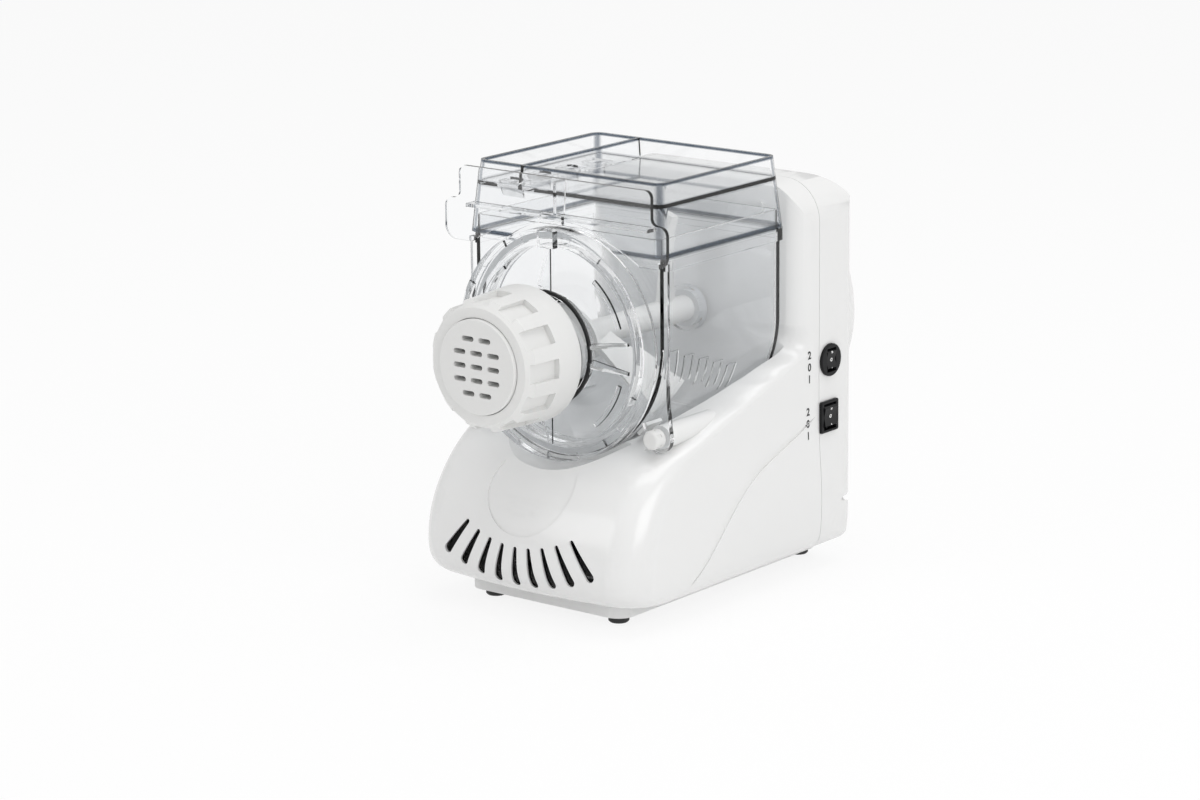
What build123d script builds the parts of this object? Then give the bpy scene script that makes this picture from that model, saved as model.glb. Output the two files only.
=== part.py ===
from build123d import *
import math
import os

"""Countertop electric pasta maker, as an assembly of its separate pieces.

Frame: +Z up, the die faces -Y, +X is the side with the two switches.
The origin is under the middle of the machine, on the surface that its feet stand on.
All sizes are millimetres. One STEP file per piece is written to parts/.
"""

# ---------------------------------------------------------------- overall sizes
WIDTH = 185.0           # across the lid guard's wings, and the housing at its widest
DEPTH = 297.0           # die face to rear drum
HEIGHT = 292.0          # feet to lid rim
FRONT_Y = -DEPTH / 2
REAR_Y = DEPTH / 2
SHAFT_Z = 179.0         # the axis that kneader, disc, nut and die share

# ---------------------------------------------------------------- named clearances
RUN_GAP = 0.05          # radial, shaft in bush
SLIDE_GAP = 0.3         # between pieces that slide or lift apart
PART_GAP = 0.2          # between fixed pieces that only meet
SEAT_GAP = 0.05         # screw or bush in its own hole

# ---------------------------------------------------------------- housing
WALL = 2.6
LIP_Z = 17.0            # bottom edge of the housing
TOWER_TOP_Z = 273.0
TOWER_FRONT_Y = 79.5
BODY_FRONT_Y = -114.0
DRUM_STEP = 2.0         # the drum stands this far behind the rear face
BODY_REAR_Y = REAR_Y - DRUM_STEP
FLANK_DRAW = 2.7        # how far the flanks draw in above the bulge
SIDE_X = WIDTH / 2 - FLANK_DRAW
SHOULDER_DROP = 64.0    # the shoulder under the tub's front flange lies this far below the shaft
SHOULDER_Z = SHAFT_Z - SHOULDER_DROP
SHOULDER_SLOPE = 0.33
NOSE_RADIUS = 81.0      # big round from the front face up to the shoulder
SWEEP_RADIUS = 16.0     # hollow from the shoulder up to the tower
HEEL_RADIUS = 20.0      # round under the nose
CORNER_RADIUS = 26.0    # front corners, seen from above
TOWER_CORNER = 13.0     # the tower's front corners
BOW = 7.7               # how far the front corners lie behind the middle of the nose
BOW_ROUND = 2 * WIDTH + 30.0             # the front's round between its corners
CROWN_ROUND = 20 * WIDTH - 2200.0        # the slight arch over the tower
FULL_Z = 50.0           # where the flanks are fullest
STRAIGHT_Z = 110.0      # where they have drawn in to the tower's width
SURFACE_RELIEF = 0.9    # depth of the round dish and of the panel lines
SEAM_Y = 103.0          # front housing meets rear cover
SEAM_GAP = 0.4
DRUM_RADIUS = SIDE_X - 1.8
DRUM_Z = SHAFT_Z - 5.0
DISH_RADIUS = 34.0      # shallow round dish on the front face
DISH_Z = 92.0
VENT_RADII = (3.2, 1.6)

# ---------------------------------------------------------------- mixing tub
TUB_SIDE_ROOM = 14.0    # from the tub's wall out to the machine's full width
TUB_HALF = WIDTH / 2 - TUB_SIDE_ROOM    # half width, and the radius of the trough
TROUGH_Z = SHAFT_Z + 4.0                # the trough's centre, a little above the shaft
TUB_WALL = 3.0
TUB_REAR_Y = 76.5
TUB_FRONT_Y = -52.0
COLLAR_HALF = TUB_HALF - 1.7            # the rim that stands up into the lid
COLLAR_WALL = 2.2
COLLAR_TOP_Z = 255.5
BAND_LOW_Z = 235.0
BAND_TOP_Z = 243.3
BAND_HALF = TUB_HALF + 2.0
FLANGE_T = 4.0
FLANGE_HALF = TUB_HALF + 3.5
EAR_X = TUB_HALF - 3.5
EAR_Z = SHAFT_Z - 54.5
EAR_RADIUS = 10.0
MOUTH_RADIUS = TUB_HALF - 8.5           # the round opening in the tub's front

# ---------------------------------------------------------------- lid
LID_LOW_HALF = BAND_HALF + 0.5
LID_TOP_HALF = LID_LOW_HALF - 4.2
LID_LOW_Y = (-59.0, 77.5)
LID_TOP_Y = (-54.7, 73.0)
LID_LOW_Z = BAND_TOP_Z + 0.7
LID_WALL = 2.5
RIM_RISE = 16.5                         # the rim stands this far above the deck's underside
DECK_Z = HEIGHT - RIM_RISE
DECK_T = 2.5
DIVIDER_X = 40.0 - TUB_HALF
ARCH_ROOM = 3.0                          # from the disc's ring out to the arch in the lid's front
ARCH_RADIUS = 134.0                     # the round of the guard's underside

# ---------------------------------------------------------------- front disc, nut, die
RING_RADIUS = MOUTH_RADIUS + 7.3
RING_FRONT_Y = -73.0
TUBE_BORE = 26.5
TUBE_RADIUS = 36.6
TUBE_MOUTH = TUBE_RADIUS - 5.8          # the bore widens towards the die
DIE_RADIUS = TUBE_RADIUS - 5.1
DIE_FLANGE_RADIUS = TUBE_RADIUS - 0.6
DIE_PROUD = 2.5                         # the die stands out of the nut by this
NUT_FRONT_Y = FRONT_Y + DIE_PROUD
NUT_LENGTH = 49.6
NUT_REAR_Y = NUT_FRONT_Y + NUT_LENGTH
DIE_FLANGE_Y = (NUT_FRONT_Y + 4.0, NUT_FRONT_Y + 8.0)
TUBE_END_Y = DIE_FLANGE_Y[1] + 1.2
NUT_REAR_RADIUS = TUBE_RADIUS + 9.0
NUT_FRONT_RADIUS = TUBE_RADIUS + 7.0
NUT_FACE_RADIUS = TUBE_RADIUS + 1.8
NUT_POCKETS = 12
RING_SEAL_RADIUS = TUBE_RADIUS + 4.0
RING_SEAL_Y = (-84.4, -81.8)

# ---------------------------------------------------------------- drive train
MODULES = (1.0, 1.25, 1.5)          # motor stage, middle stage, output stage
PINION_TEETH = (14, 14, 14)
WHEEL_TEETH = (64, 46, 44)
PRESSURE_ANGLE = math.radians(20)
BACKLASH = 0.2
OUTPUT_SHAFT_R = 7.0
AXLE_R = 4.0
HEX_FLATS = 12.0
PLATE_T = 3.0
FRONT_PLATE_Y = 90.0
REAR_PLATE_Y = 134.0
MOTOR_HALF = 34.0
STATOR_Y = (0.0, 50.0)

# ---------------------------------------------------------------- feet, switches
PLINTH_HALF = WIDTH / 2 - 26.5
PLINTH_Y = (-84.0, BODY_REAR_Y - 7.5)
FOOT_X = PLINTH_HALF - 13.6
FOOT_Y = (PLINTH_Y[0] + 14.0, PLINTH_Y[1] - 7.5)
FOOT_RADIUS = 7.0
FOOT_H = 6.0
ROUND_SWITCH = (115.0, 146.5)       # y, z of its centre on the right side
SQUARE_SWITCH = (113.5, 107.5)
BEZEL_T = 2.0
SKIN_X = SIDE_X + 0.2               # the switches' bezels seat here
ROCKER_PIVOT_DEPTH = 3.4            # pivot axis behind the outer skin

os.makedirs("parts", exist_ok=True)


# ================================================================ drawing helpers
def save(shape, node):
    """Writes one piece, as a compound when it is several equal solids."""
    solids = shape.solids()
    export_step(solids[0] if len(solids) == 1 else Compound(children=list(solids)), f"parts/{node}.step")


def rounded(points, radii):
    """A closed outline with a radius at each corner, as a face."""
    return make_face(FilletPolyline(*points, radius=radii, close=True).edges())


def rect(x0, x1, y0, y1, radius=0.0):
    """A rectangle between two corners, with rounded corners if asked."""
    if radius:
        shape = RectangleRounded(x1 - x0, y1 - y0, radius)
    else:
        shape = Rectangle(x1 - x0, y1 - y0)
    return Pos((x0 + x1) / 2, (y0 + y1) / 2) * shape


def along_x(face, x0, x1):
    """A face drawn in (y, z), extruded from x0 to x1."""
    return extrude(Plane.YZ.offset(x0) * face, amount=x1 - x0)


def along_y(face, y0, y1):
    """A face drawn in (x, z), extruded from y0 to y1."""
    return extrude(Plane.XZ.offset(-y1) * face, amount=y1 - y0)


def along_z(face, z0, z1):
    """A face drawn in (x, y), extruded from z0 to z1."""
    return extrude(Plane.XY.offset(z0) * face, amount=z1 - z0)


def block(x, y, z):
    """A box from three (low, high) pairs."""
    return along_z(rect(x[0], x[1], y[0], y[1]), z[0], z[1])


def rod(radius, y, x=0.0, z=SHAFT_Z):
    """A round bar along Y between two stations."""
    return along_y(Pos(x, z) * Circle(radius), y[0], y[1])


def sleeve(outer, inner, y, x=0.0, z=SHAFT_Z):
    """A tube along Y between two stations."""
    return along_y(Pos(x, z) * (Circle(outer) - Circle(inner)), y[0], y[1])


def turned(points):
    """A (radius, y) outline turned about the shaft axis."""
    face = make_face(Polyline(*points, close=True))
    return Pos(0, 0, SHAFT_Z) * revolve(face, Axis.Y, 360)


def both_sides(shape):
    """The shape and its mirror image across the symmetry plane."""
    return [shape, mirror(shape, Plane.YZ)]


def inset(face, t):
    """The face, moved in by t all round."""
    return offset(face, -t) if t else face


# ================================================================ housing form
def nose_y(z, t=0.0):
    """Front of the housing at a height, t inside the skin: heel, nose round, shoulder, hollow, tower."""
    slope, nose_centre_y = math.atan(SHOULDER_SLOPE), BODY_FRONT_Y + NOSE_RADIUS
    nose = (nose_centre_y, SHOULDER_Z + SHOULDER_SLOPE * (nose_centre_y - TUB_FRONT_Y + 6)
            - NOSE_RADIUS / math.cos(slope))
    hollow_y = TOWER_FRONT_Y - SWEEP_RADIUS
    hollow_z = SHOULDER_Z + SHOULDER_SLOPE * (hollow_y - TUB_FRONT_Y + 6) + SWEEP_RADIUS / math.cos(slope)
    hollow = (hollow_y, hollow_z)
    heel_z = LIP_Z + HEEL_RADIUS
    if z < heel_z:
        r = HEEL_RADIUS - t
        return BODY_FRONT_Y + HEEL_RADIUS - math.sqrt(max(0.0, r * r - (heel_z - z) ** 2))
    if z < nose[1]:
        return BODY_FRONT_Y + t
    if z < nose[1] + (NOSE_RADIUS - t) * math.cos(slope):
        return nose[0] - math.sqrt((NOSE_RADIUS - t) ** 2 - (z - nose[1]) ** 2)
    if z < hollow[1] - (SWEEP_RADIUS + t) * math.cos(slope):
        return TUB_FRONT_Y - 6 + (z + t / math.cos(slope) - SHOULDER_Z) / SHOULDER_SLOPE
    if z < hollow[1]:
        return hollow[0] + math.sqrt(max(0.0, (SWEEP_RADIUS + t) ** 2 - (hollow[1] - z) ** 2))
    return TOWER_FRONT_Y + t


def flank_x(z):
    """Half width at a height: tucked in at the bottom, fullest low down, straight above."""
    full = WIDTH / 2
    if z < FULL_Z:
        k = (FULL_Z - z) / (FULL_Z - LIP_Z)
        return full - 2.0 * k * k - 4.0 * k ** 8
    k = min(1.0, (z - FULL_Z) / (STRAIGHT_Z - FULL_Z))
    return full - (full - SIDE_X) * (3 * k * k - 2 * k ** 3)


def back_y(z):
    """Rear of the housing at a height."""
    k = max(0.0, (95.0 - z) / (95.0 - LIP_Z))
    return BODY_REAR_Y - 9.5 * k ** 1.4 - 3.0 * k ** 12


def level_section(z, t):
    """Horizontal section of the body: bowed front with round corners, square back."""
    x, front, rear = flank_x(z) - t, nose_y(z, t), back_y(z) - t
    k = min(1.0, max(0.0, (z - 150.0) / 25.0))
    corner = CORNER_RADIUS + (TOWER_CORNER - CORNER_RADIUS) * k - t
    bow = BOW * (1 - k)
    outline = [(-x, front + bow), (0, front - 2.0 * (1 - k) - 0.3), (x, front + bow), (x, rear), (-x, rear)]
    return Plane.XY.offset(z) * rounded(outline, [corner, BOW_ROUND, corner, 12 - t, 12 - t])


SECTION_HEIGHTS = (44, 56, 68, 80, 90, 99, 107, 113.5, 118.5, 124, 132, 140, 147, 153, 158, 163, 168, 176)


def crown(t):
    """Room under the tower's arched top; it is wide open below."""
    top, side = TOWER_TOP_Z - t, SIDE_X - t
    arch = rounded([(-side, 150), (-side, top - 3), (0, top), (side, top - 3), (side, 150)],
                   [0, 28 - t, CROWN_ROUND, 28 - t, 0])
    return along_y(arch + rect(-120, 120, 0, 180), 0, 200)


def body_form(t=0.0):
    """The outer form ahead of the seam and just past it, or the same form t inside its skin."""
    low, joint_z = LIP_Z + t, SECTION_HEIGHTS[-1]
    heights = [low, low + 1.2, low + 3.5, low + 8, low + 14, *SECTION_HEIGHTS]
    form = loft([level_section(z, t) for z in heights])
    tower = rounded([(TOWER_FRONT_Y + t - 1, joint_z - 20), (TOWER_FRONT_Y + t - 1, TOWER_TOP_Z - t),
                     (BODY_REAR_Y - t, TOWER_TOP_Z - t), (BODY_REAR_Y - t, joint_z - 20)],
                    [0, 8 - t, 35 - t, 0])
    head = extrude(level_section(joint_z, t), amount=120) & along_x(tower, -120, 120) & crown(t)
    return form + head


def rear_form(t=0.0):
    """The form behind the seam, from plain prisms that meet the front's sections there."""
    low = LIP_Z + t
    heights = [low, low + 1.2, low + 3.5, low + 8, low + 14, 44, 56, 68, 80, 90, 99, 110]
    side = [(flank_x(z) - t, z) for z in heights]
    top = SIDE_X - t
    flanks = make_face([Spline(*side), Polyline((top, 110), (top, 300), (-top, 300), (-top, 110)),
                        Spline(*[(-x, z) for x, z in reversed(side)]),
                        Line((-side[0][0], low), (side[0][0], low))])
    rear = [(back_y(z) - t, z) for z in (low, low + 1.2, low + 3.5, low + 8, 35, 50, 65, 80, 95)]
    high, far = TOWER_TOP_Z - t, BODY_REAR_Y - t
    profile = make_face([Spline(*rear), Polyline((far, 95), (far, high), (60, high), (60, low), rear[0])])
    round_top = rounded([(60, 0), (60, high), (far, high), (far, 0)], [0, 0, 35 - t, 0])
    flare = [(top + 4, 60), (top + 4, 95), (top, BODY_REAR_Y - 13), (top, far)]
    plan = rounded(flare + [(-x, y) for x, y in reversed(flare)], [0, 30, 0.5, 12 - t, 12 - t, 0.5, 30, 0])
    form = along_y(flanks, 60, 200) & along_x(profile, -120, 120) & along_x(round_top, -120, 120)
    return form & crown(t) & along_z(plan, 0, 300)


def channel(radius, y0, y1):
    """The U-shaped trough space, open at the top."""
    face = Pos(0, TROUGH_Z) * Circle(radius) + rect(-radius, radius, TROUGH_Z, 400)
    return along_y(face, y0, y1)


CHANNEL_RADIUS = TUB_HALF + 2.0
RELIEF_RADIUS = RING_RADIUS + 3.2
RELIEF_Y = TUB_FRONT_Y + 0.5


def openings_for_tub(grow=0.0):
    """What the tub, disc and ears take out of the housing form, grown by a wall's thickness."""
    cut = channel(CHANNEL_RADIUS + grow, -200, TOWER_FRONT_Y + grow)
    cut += rod(RELIEF_RADIUS + grow, (-200, RELIEF_Y + grow))
    ear = block((EAR_X - 12 - grow, EAR_X + 20 + grow), (-200, RELIEF_Y + grow),
                (EAR_Z - EAR_RADIUS - 0.6 - grow, 200))
    for side in both_sides(ear):
        cut += side
    return cut


def swoosh():
    """A crescent panel line on the flank that thins out at both ends."""
    upper = [(100, 110), (57, 97), (25, 84.6), (1, 67.5), (-14, 53), (-28, 38.5), (-42, 24)]
    lower = [(-42, 24), (-27, 34.5), (-11.5, 49.5), (4, 64), (28, 81.2), (60, 94), (100, 110)]
    return make_face([Spline(*upper), Spline(*lower)])


ROUND_CASE = Circle(10.0)
SQUARE_CASE = RectangleRounded(18.4, 20.4, 1.0)
ROUND_BEZEL = Circle(11.3)
SQUARE_BEZEL = RectangleRounded(20.0, 22.0, 1.5)
SWITCHES = ((ROUND_SWITCH, ROUND_CASE, ROUND_BEZEL), (SQUARE_SWITCH, SQUARE_CASE, SQUARE_BEZEL))
PIN_X, PIN_Z, PIN_RADIUS = TUB_HALF - 21.5, BAND_TOP_Z + 10.7, 4.0
PIN_FRONT_Y = 77.9                  # just clear of the lid as it lifts
INTERLOCK_Y = 89.0
CORD = (-45.0, 44.0, 6.5)           # x, z and hole radius of the cord inlet
POST_X = (SIDE_X - 3.3, SIDE_X - 5.8)
COVER_POSTS = [(-POST_X[0], 45.0), (POST_X[0], 45.0), (-POST_X[1], 230.0), (POST_X[1], 230.0)]
BASE_SCREW_X = PLINTH_HALF - 9.0
BASE_SCREWS = [(x, y) for x in (-BASE_SCREW_X, BASE_SCREW_X) for y in (-45.0, 40.0, 118.0)]
FLOOR_OPENING = (7.0 - BASE_SCREW_X, BASE_SCREW_X - 7.0, PLINTH_Y[0] + 6.0, PLINTH_Y[1] - 8.0)
PILLARS = [(x, z) for x in (-34.0, 34.0) for z in (SHAFT_Z - 103.0, SHAFT_Z + 30.0)]


def front_shell():
    """The shell ahead of the seam, and the cavity inside it."""
    ahead = block((-120, 120), (-200, SEAM_Y), (0, 300))
    cavity = (body_form(WALL) & block((-120, 120), (-200, SEAM_Y + 1), (0, 300))) - openings_for_tub(WALL)
    return (body_form() & ahead) - openings_for_tub() - cavity - floor_opening(), cavity


def rear_shell():
    """The shell behind the seam with its drum, and the cavity inside it."""
    behind = block((-120, 120), (SEAM_Y + SEAM_GAP, 200), (0, 300))
    drum = fillet(rod(DRUM_RADIUS, (120, REAR_Y), z=DRUM_Z).edges().group_by(Axis.Y)[-1], 2.0)
    cavity = rear_form(WALL) & block((-120, 120), (SEAM_Y - 1, 200), (0, 300))
    cavity += rod(DRUM_RADIUS - WALL, (130, REAR_Y - WALL), z=DRUM_Z)
    return ((rear_form() & behind) + drum) - cavity - floor_opening(), cavity


def floor_opening():
    """The hole in the housing's floor that the plinth tray closes."""
    return along_z(rect(*FLOOR_OPENING, radius=8), 0, LIP_Z + 10)


def front_vents():
    """Nine drop-shaped slots in a smiling fan, wide at the bottom."""
    cuts = []
    for i in range(-4, 5):
        low, high = Vector(15.0 * i, 28.0 + 0.75 * i * i), Vector(11.0 * i, 50.0 + 0.66 * i * i)
        along = high - low
        lean = math.asin((VENT_RADII[0] - VENT_RADII[1]) / along.length)
        sides = []
        for sign in (1, -1):
            normal = along.normalized().rotate(Axis.Z, sign * (90 - math.degrees(lean)))
            sides.append((low + normal * VENT_RADII[0], high + normal * VENT_RADII[1]))
        drop = Polygon(sides[0][0], sides[1][0], sides[1][1], sides[0][1], align=None)
        drop += Pos(low.X, low.Y) * Circle(VENT_RADII[0])
        drop += Pos(high.X, high.Y) * Circle(VENT_RADII[1])
        cuts.append(along_y(drop, BODY_FRONT_Y - 10, BODY_FRONT_Y + 34))
    return cuts


def screw_hill():
    """Blended rise on the shoulder that takes the thumb screw."""
    x, z = EAR_X, EAR_Z
    hill = Pos(x, z) * Circle(8.0)
    hill += Polygon((x - 24, z - 19), (x - 7, z + 3.9), (x + 7, z + 3.9), (x + 13, z - 12), (x + 13, z - 19),
                    align=None)
    return along_y(hill, RELIEF_Y, 0.0)


def make_front_housing(shell, inner):
    """The white shell in front of the seam."""
    part = shell
    # round dish on the nose and crescents on the flanks, all of one shallow depth
    relief_floor = body_form(SURFACE_RELIEF)
    nose_centre = (BODY_FRONT_Y + NOSE_RADIUS, 48.0)
    tilt = math.degrees(math.asin((DISH_Z - nose_centre[1]) / NOSE_RADIUS))
    dish = Pos(0, nose_centre[0], nose_centre[1]) * Rot(-tilt, 0, 0) * Pos(0, -NOSE_RADIUS + 10, 0) * extrude(
        Plane.XZ * Circle(DISH_RADIUS), amount=30)
    part -= dish - relief_floor
    for side in both_sides(along_x(swoosh(), 70, 120)):
        part -= side - relief_floor
    for slot in front_vents():
        part -= slot
    screw_room = block((40, 100), (RELIEF_Y, -30), (EAR_Z - 7, EAR_Z + 9))
    for side in both_sides(screw_hill() - (inner - screw_room)):
        part += side
    for side in both_sides(rod(2.5 + SEAT_GAP, (RELIEF_Y - 1, -36.0), x=EAR_X, z=EAR_Z)):
        part -= side
    # output bearing seat, interlock pin hole, spacers for the gearbox plate
    part -= rod(12.0 + SEAT_GAP, (70, 86))
    part -= rod(15.0 + PART_GAP, (TOWER_FRONT_Y + WALL, 90))
    for y in (-40.0, 30.0):
        for angle in (-45, 45):
            pad = block((-6, 6), (y - 8, y + 8), (-CHANNEL_RADIUS - 0.6, -TUB_HALF - SLIDE_GAP))
            part += Pos(0, 0, TROUGH_Z) * Rot(0, angle, 0) * pad
    part -= rod(PIN_RADIUS + RUN_GAP + 0.05, (70, 84), x=PIN_X, z=PIN_Z)
    for x, z in PILLARS[1::2]:
        part += rod(5.0, (TOWER_FRONT_Y + 1, FRONT_PLATE_Y), x=x, z=z)
    for x in (PIN_X - 8.2, PIN_X + 8.2):
        part += rod(1.6, (TOWER_FRONT_Y + 1, INTERLOCK_Y), x=x, z=PIN_Z - 3.5)
    for x, y in BASE_SCREWS:
        if y < SEAM_Y:
            part += along_z(Pos(x, y) * Circle(4.5), LIP_Z + 1, LIP_Z + 14)
            part -= along_z(Pos(x, y) * Circle(1.5 + SEAT_GAP), LIP_Z - 1, LIP_Z + 12)
    wall_room = body_form(WALL / 2) - openings_for_tub(WALL / 2)
    for x, z in COVER_POSTS:
        part += rod(4.5, (TOWER_FRONT_Y + 8, SEAM_Y), x=x, z=z) & wall_room
        part -= rod(1.5 + SEAT_GAP, (TOWER_FRONT_Y + 9, SEAM_Y), x=x, z=z)
    return part


def make_rear_cover(shell, inner):
    """The white shell behind the seam, with a tongue that enters the front housing."""
    part = shell
    tongue_inner = rear_form(WALL + PART_GAP + 1.6)
    tongue = (rear_form(WALL + PART_GAP) - tongue_inner) & block(
        (-120, 120), (SEAM_Y - 5, SEAM_Y + 6), (LIP_Z + 12, 300))
    tongue += (rear_form(WALL / 2) - tongue_inner) & block(
        (-120, 120), (SEAM_Y + SEAM_GAP, SEAM_Y + 6), (LIP_Z + 12, 300))
    part += tongue
    for (y, z), case, bezel in SWITCHES:
        part -= along_x(Pos(y, z) * offset(case, PART_GAP), 70, 120)
        part -= along_x(Pos(y, z) * offset(bezel, PART_GAP), SKIN_X, 120)
    for x, z in COVER_POSTS:
        part -= rod(4.5 + PART_GAP, (SEAM_Y - 6, SEAM_Y + SEAM_GAP), x=x, z=z)
        post = rod(4.5, (SEAM_Y + SEAM_GAP, BODY_REAR_Y), x=x, z=z) & (inner + rear_form(WALL / 2))
        part += post
        part -= rod(1.7, (SEAM_Y - 10, 200), x=x, z=z)
        part -= rod(3.7, (SEAM_Y + 12, 200), x=x, z=z)
    for x, y in BASE_SCREWS:
        if y > SEAM_Y:
            part += along_z(Pos(x, y) * Circle(4.5), LIP_Z + 1, LIP_Z + 14)
            part -= along_z(Pos(x, y) * Circle(1.5 + SEAT_GAP), LIP_Z - 1, LIP_Z + 12)
    for i in range(-4, 5):
        part -= block((9.0 * i - 2.0, 9.0 * i + 2.0), (BODY_REAR_Y - 6, REAR_Y + 11.5), (112, 150))
    # flat pad and hole for the cord inlet
    x, z, hole = CORD
    part += rod(11.0, (BODY_REAR_Y - 9, BODY_REAR_Y - 1), x=x, z=z)
    part -= rod(hole + SEAT_GAP, (BODY_REAR_Y - 20, REAR_Y + 11.5), x=x, z=z)
    return part


# ================================================================ base
def make_base_plate():
    """Plinth tray under the housing, with screw bosses and air slots."""
    plan = rect(-PLINTH_HALF, PLINTH_HALF, *PLINTH_Y, radius=12)
    tray = along_z(plan, FOOT_H, LIP_Z)
    tray -= along_z(inset(plan, 2.5), FOOT_H + 2.5, LIP_Z + 1)
    for x, y in BASE_SCREWS:
        tray += along_z(Pos(x, y) * Circle(5.0), FOOT_H, LIP_Z)
        tray -= along_z(Pos(x, y) * Circle(1.7), 0, LIP_Z + 1)
        tray -= along_z(Pos(x, y) * Circle(3.6), 0, FOOT_H + 4)
    for i in range(8):
        y = -25.0 + 12.0 * i
        tray -= block((-16, 16), (y - 2, y + 2), (0, FOOT_H + 4))
    for x in (-FOOT_X, FOOT_X):
        for y in FOOT_Y:
            tray -= along_z(Pos(x, y) * Circle(2.5 + SEAT_GAP), 0, LIP_Z)
    return tray


def make_feet():
    """Four rubber feet, each with a stem that plugs into the plinth."""
    feet = []
    for x in (-FOOT_X, FOOT_X):
        for y in FOOT_Y:
            pad = along_z(Circle(FOOT_RADIUS), 0, FOOT_H)
            pad = chamfer(pad.edges().group_by(Axis.Z)[0], 1.0)
            foot = pad + along_z(Circle(2.5), FOOT_H, FOOT_H + 5)
            foot += along_z(Circle(3.6), FOOT_H + 2.7, FOOT_H + 4.2)
            feet.append(Pos(x, y, 0) * foot)
    return Compound(children=feet)


def screws(places, direction, head_at, length):
    """Equal pan head screws; direction is the way that the shank points from its head."""
    made = []
    for place in places:
        shank = Cylinder(1.5, length, align=(Align.CENTER, Align.CENTER, Align.MIN))
        head = Cylinder(3.2, 2.0, align=(Align.CENTER, Align.CENTER, Align.MAX))
        head = chamfer(head.edges().group_by(Axis.Z)[0], 0.6)
        screw = shank + head
        if direction == "up":
            made.append(Pos(place[0], place[1], head_at) * screw)
        else:
            made.append(Pos(place[0], head_at, place[1]) * Rot(90, 0, 0) * screw)
    return Compound(children=made)


# ================================================================ clear tub, lid, guard
def make_tub():
    """Clear U-shaped tub: flange with ears in front, band under the rim, shaft boss behind."""
    def trough(half, y0, y1, top):
        face = Pos(0, TROUGH_Z) * Circle(half) & rect(-half, half, 0, TROUGH_Z)
        face += rect(-half, half, TROUGH_Z, top)
        body = along_y(face, y0, y1)
        return fillet([e for e in body.edges().filter_by(Axis.Z) if e.center().Y > 0], 5.0)

    flange_y = TUB_FRONT_Y - FLANGE_T
    outer = trough(TUB_HALF, TUB_FRONT_Y - 1, TUB_REAR_Y, BAND_TOP_Z)
    outer += along_z(rect(-BAND_HALF, BAND_HALF, flange_y, TUB_REAR_Y + 2, radius=7), BAND_LOW_Z, BAND_TOP_Z)
    collar = rect(-COLLAR_HALF, COLLAR_HALF, TUB_FRONT_Y - 2.6, LID_LOW_Y[1] - 4.2, radius=4)
    outer += along_z(collar, BAND_TOP_Z - 1, COLLAR_TOP_Z)
    flange = Pos(0, TROUGH_Z) * Circle(TUB_HALF + 1.4) & rect(-FLANGE_HALF, FLANGE_HALF, 0, TROUGH_Z)
    flange += Pos(0, SHAFT_Z) * Circle(RING_RADIUS - 2.3)
    flange += rect(-FLANGE_HALF, FLANGE_HALF, EAR_Z + 25, BAND_LOW_Z + 5)
    gusset = Polygon((EAR_X - EAR_RADIUS, EAR_Z), (EAR_X + EAR_RADIUS, EAR_Z), (FLANGE_HALF, EAR_Z + 26),
                     (EAR_X - 20, EAR_Z + 26), align=None)
    ear = along_y(Pos(EAR_X, EAR_Z) * Circle(EAR_RADIUS) + gusset, flange_y, TUB_FRONT_Y)
    for side in both_sides(ear):
        outer += side
    outer += along_y(flange, flange_y, TUB_FRONT_Y)
    outer -= trough(TUB_HALF - TUB_WALL, TUB_FRONT_Y, TUB_REAR_Y - TUB_WALL, BAND_TOP_Z - 3)
    outer -= along_z(inset(collar, COLLAR_WALL), BAND_TOP_Z - 4, COLLAR_TOP_Z + 1)
    outer -= rod(MOUTH_RADIUS, (flange_y - 1, TUB_FRONT_Y + 1))
    for x in (-EAR_X, EAR_X):
        outer -= rod(2.5 + SLIDE_GAP, (flange_y - 1, TUB_FRONT_Y + 1), x=x, z=EAR_Z)
    outer += rod(16.0, (TUB_REAR_Y - TUB_WALL - 5, TUB_REAR_Y))
    outer -= rod(13.0, (TUB_REAR_Y - TUB_WALL - 6, TUB_REAR_Y + 1))
    # five raised level tabs on each flank, stepping down towards the rear
    for i in range(5):
        y, z = -44.0 + 17.0 * i, SHAFT_Z - 7.0 - 5.5 * i
        frame = rect(y - 5.0, y + 5.0, z - 9, z + 9) - rect(y - 4.0, y + 4.0, z - 12, z + 8.0)
        wall = trough(TUB_HALF + 0.7, -60, 90, 300) - trough(TUB_HALF - 1, -100, 100, 300)
        tab = along_x(frame, 40, 100) & wall
        for side in both_sides(tab):
            outer += side
    return outer


def lid_loft(low_z, top_z, wall):
    """The lid's tapered box between two heights, moved in by a wall's thickness."""
    def at(z):
        k = (z - LID_LOW_Z) / (HEIGHT - LID_LOW_Z)
        half = LID_LOW_HALF + (LID_TOP_HALF - LID_LOW_HALF) * k - wall
        y0 = LID_LOW_Y[0] + (LID_TOP_Y[0] - LID_LOW_Y[0]) * k + wall
        y1 = LID_LOW_Y[1] + (LID_TOP_Y[1] - LID_LOW_Y[1]) * k - wall
        return Plane.XY.offset(z) * rect(-half, half, y0, y1, radius=7.5 - wall)
    return loft([at(low_z), at(top_z)])


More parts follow.
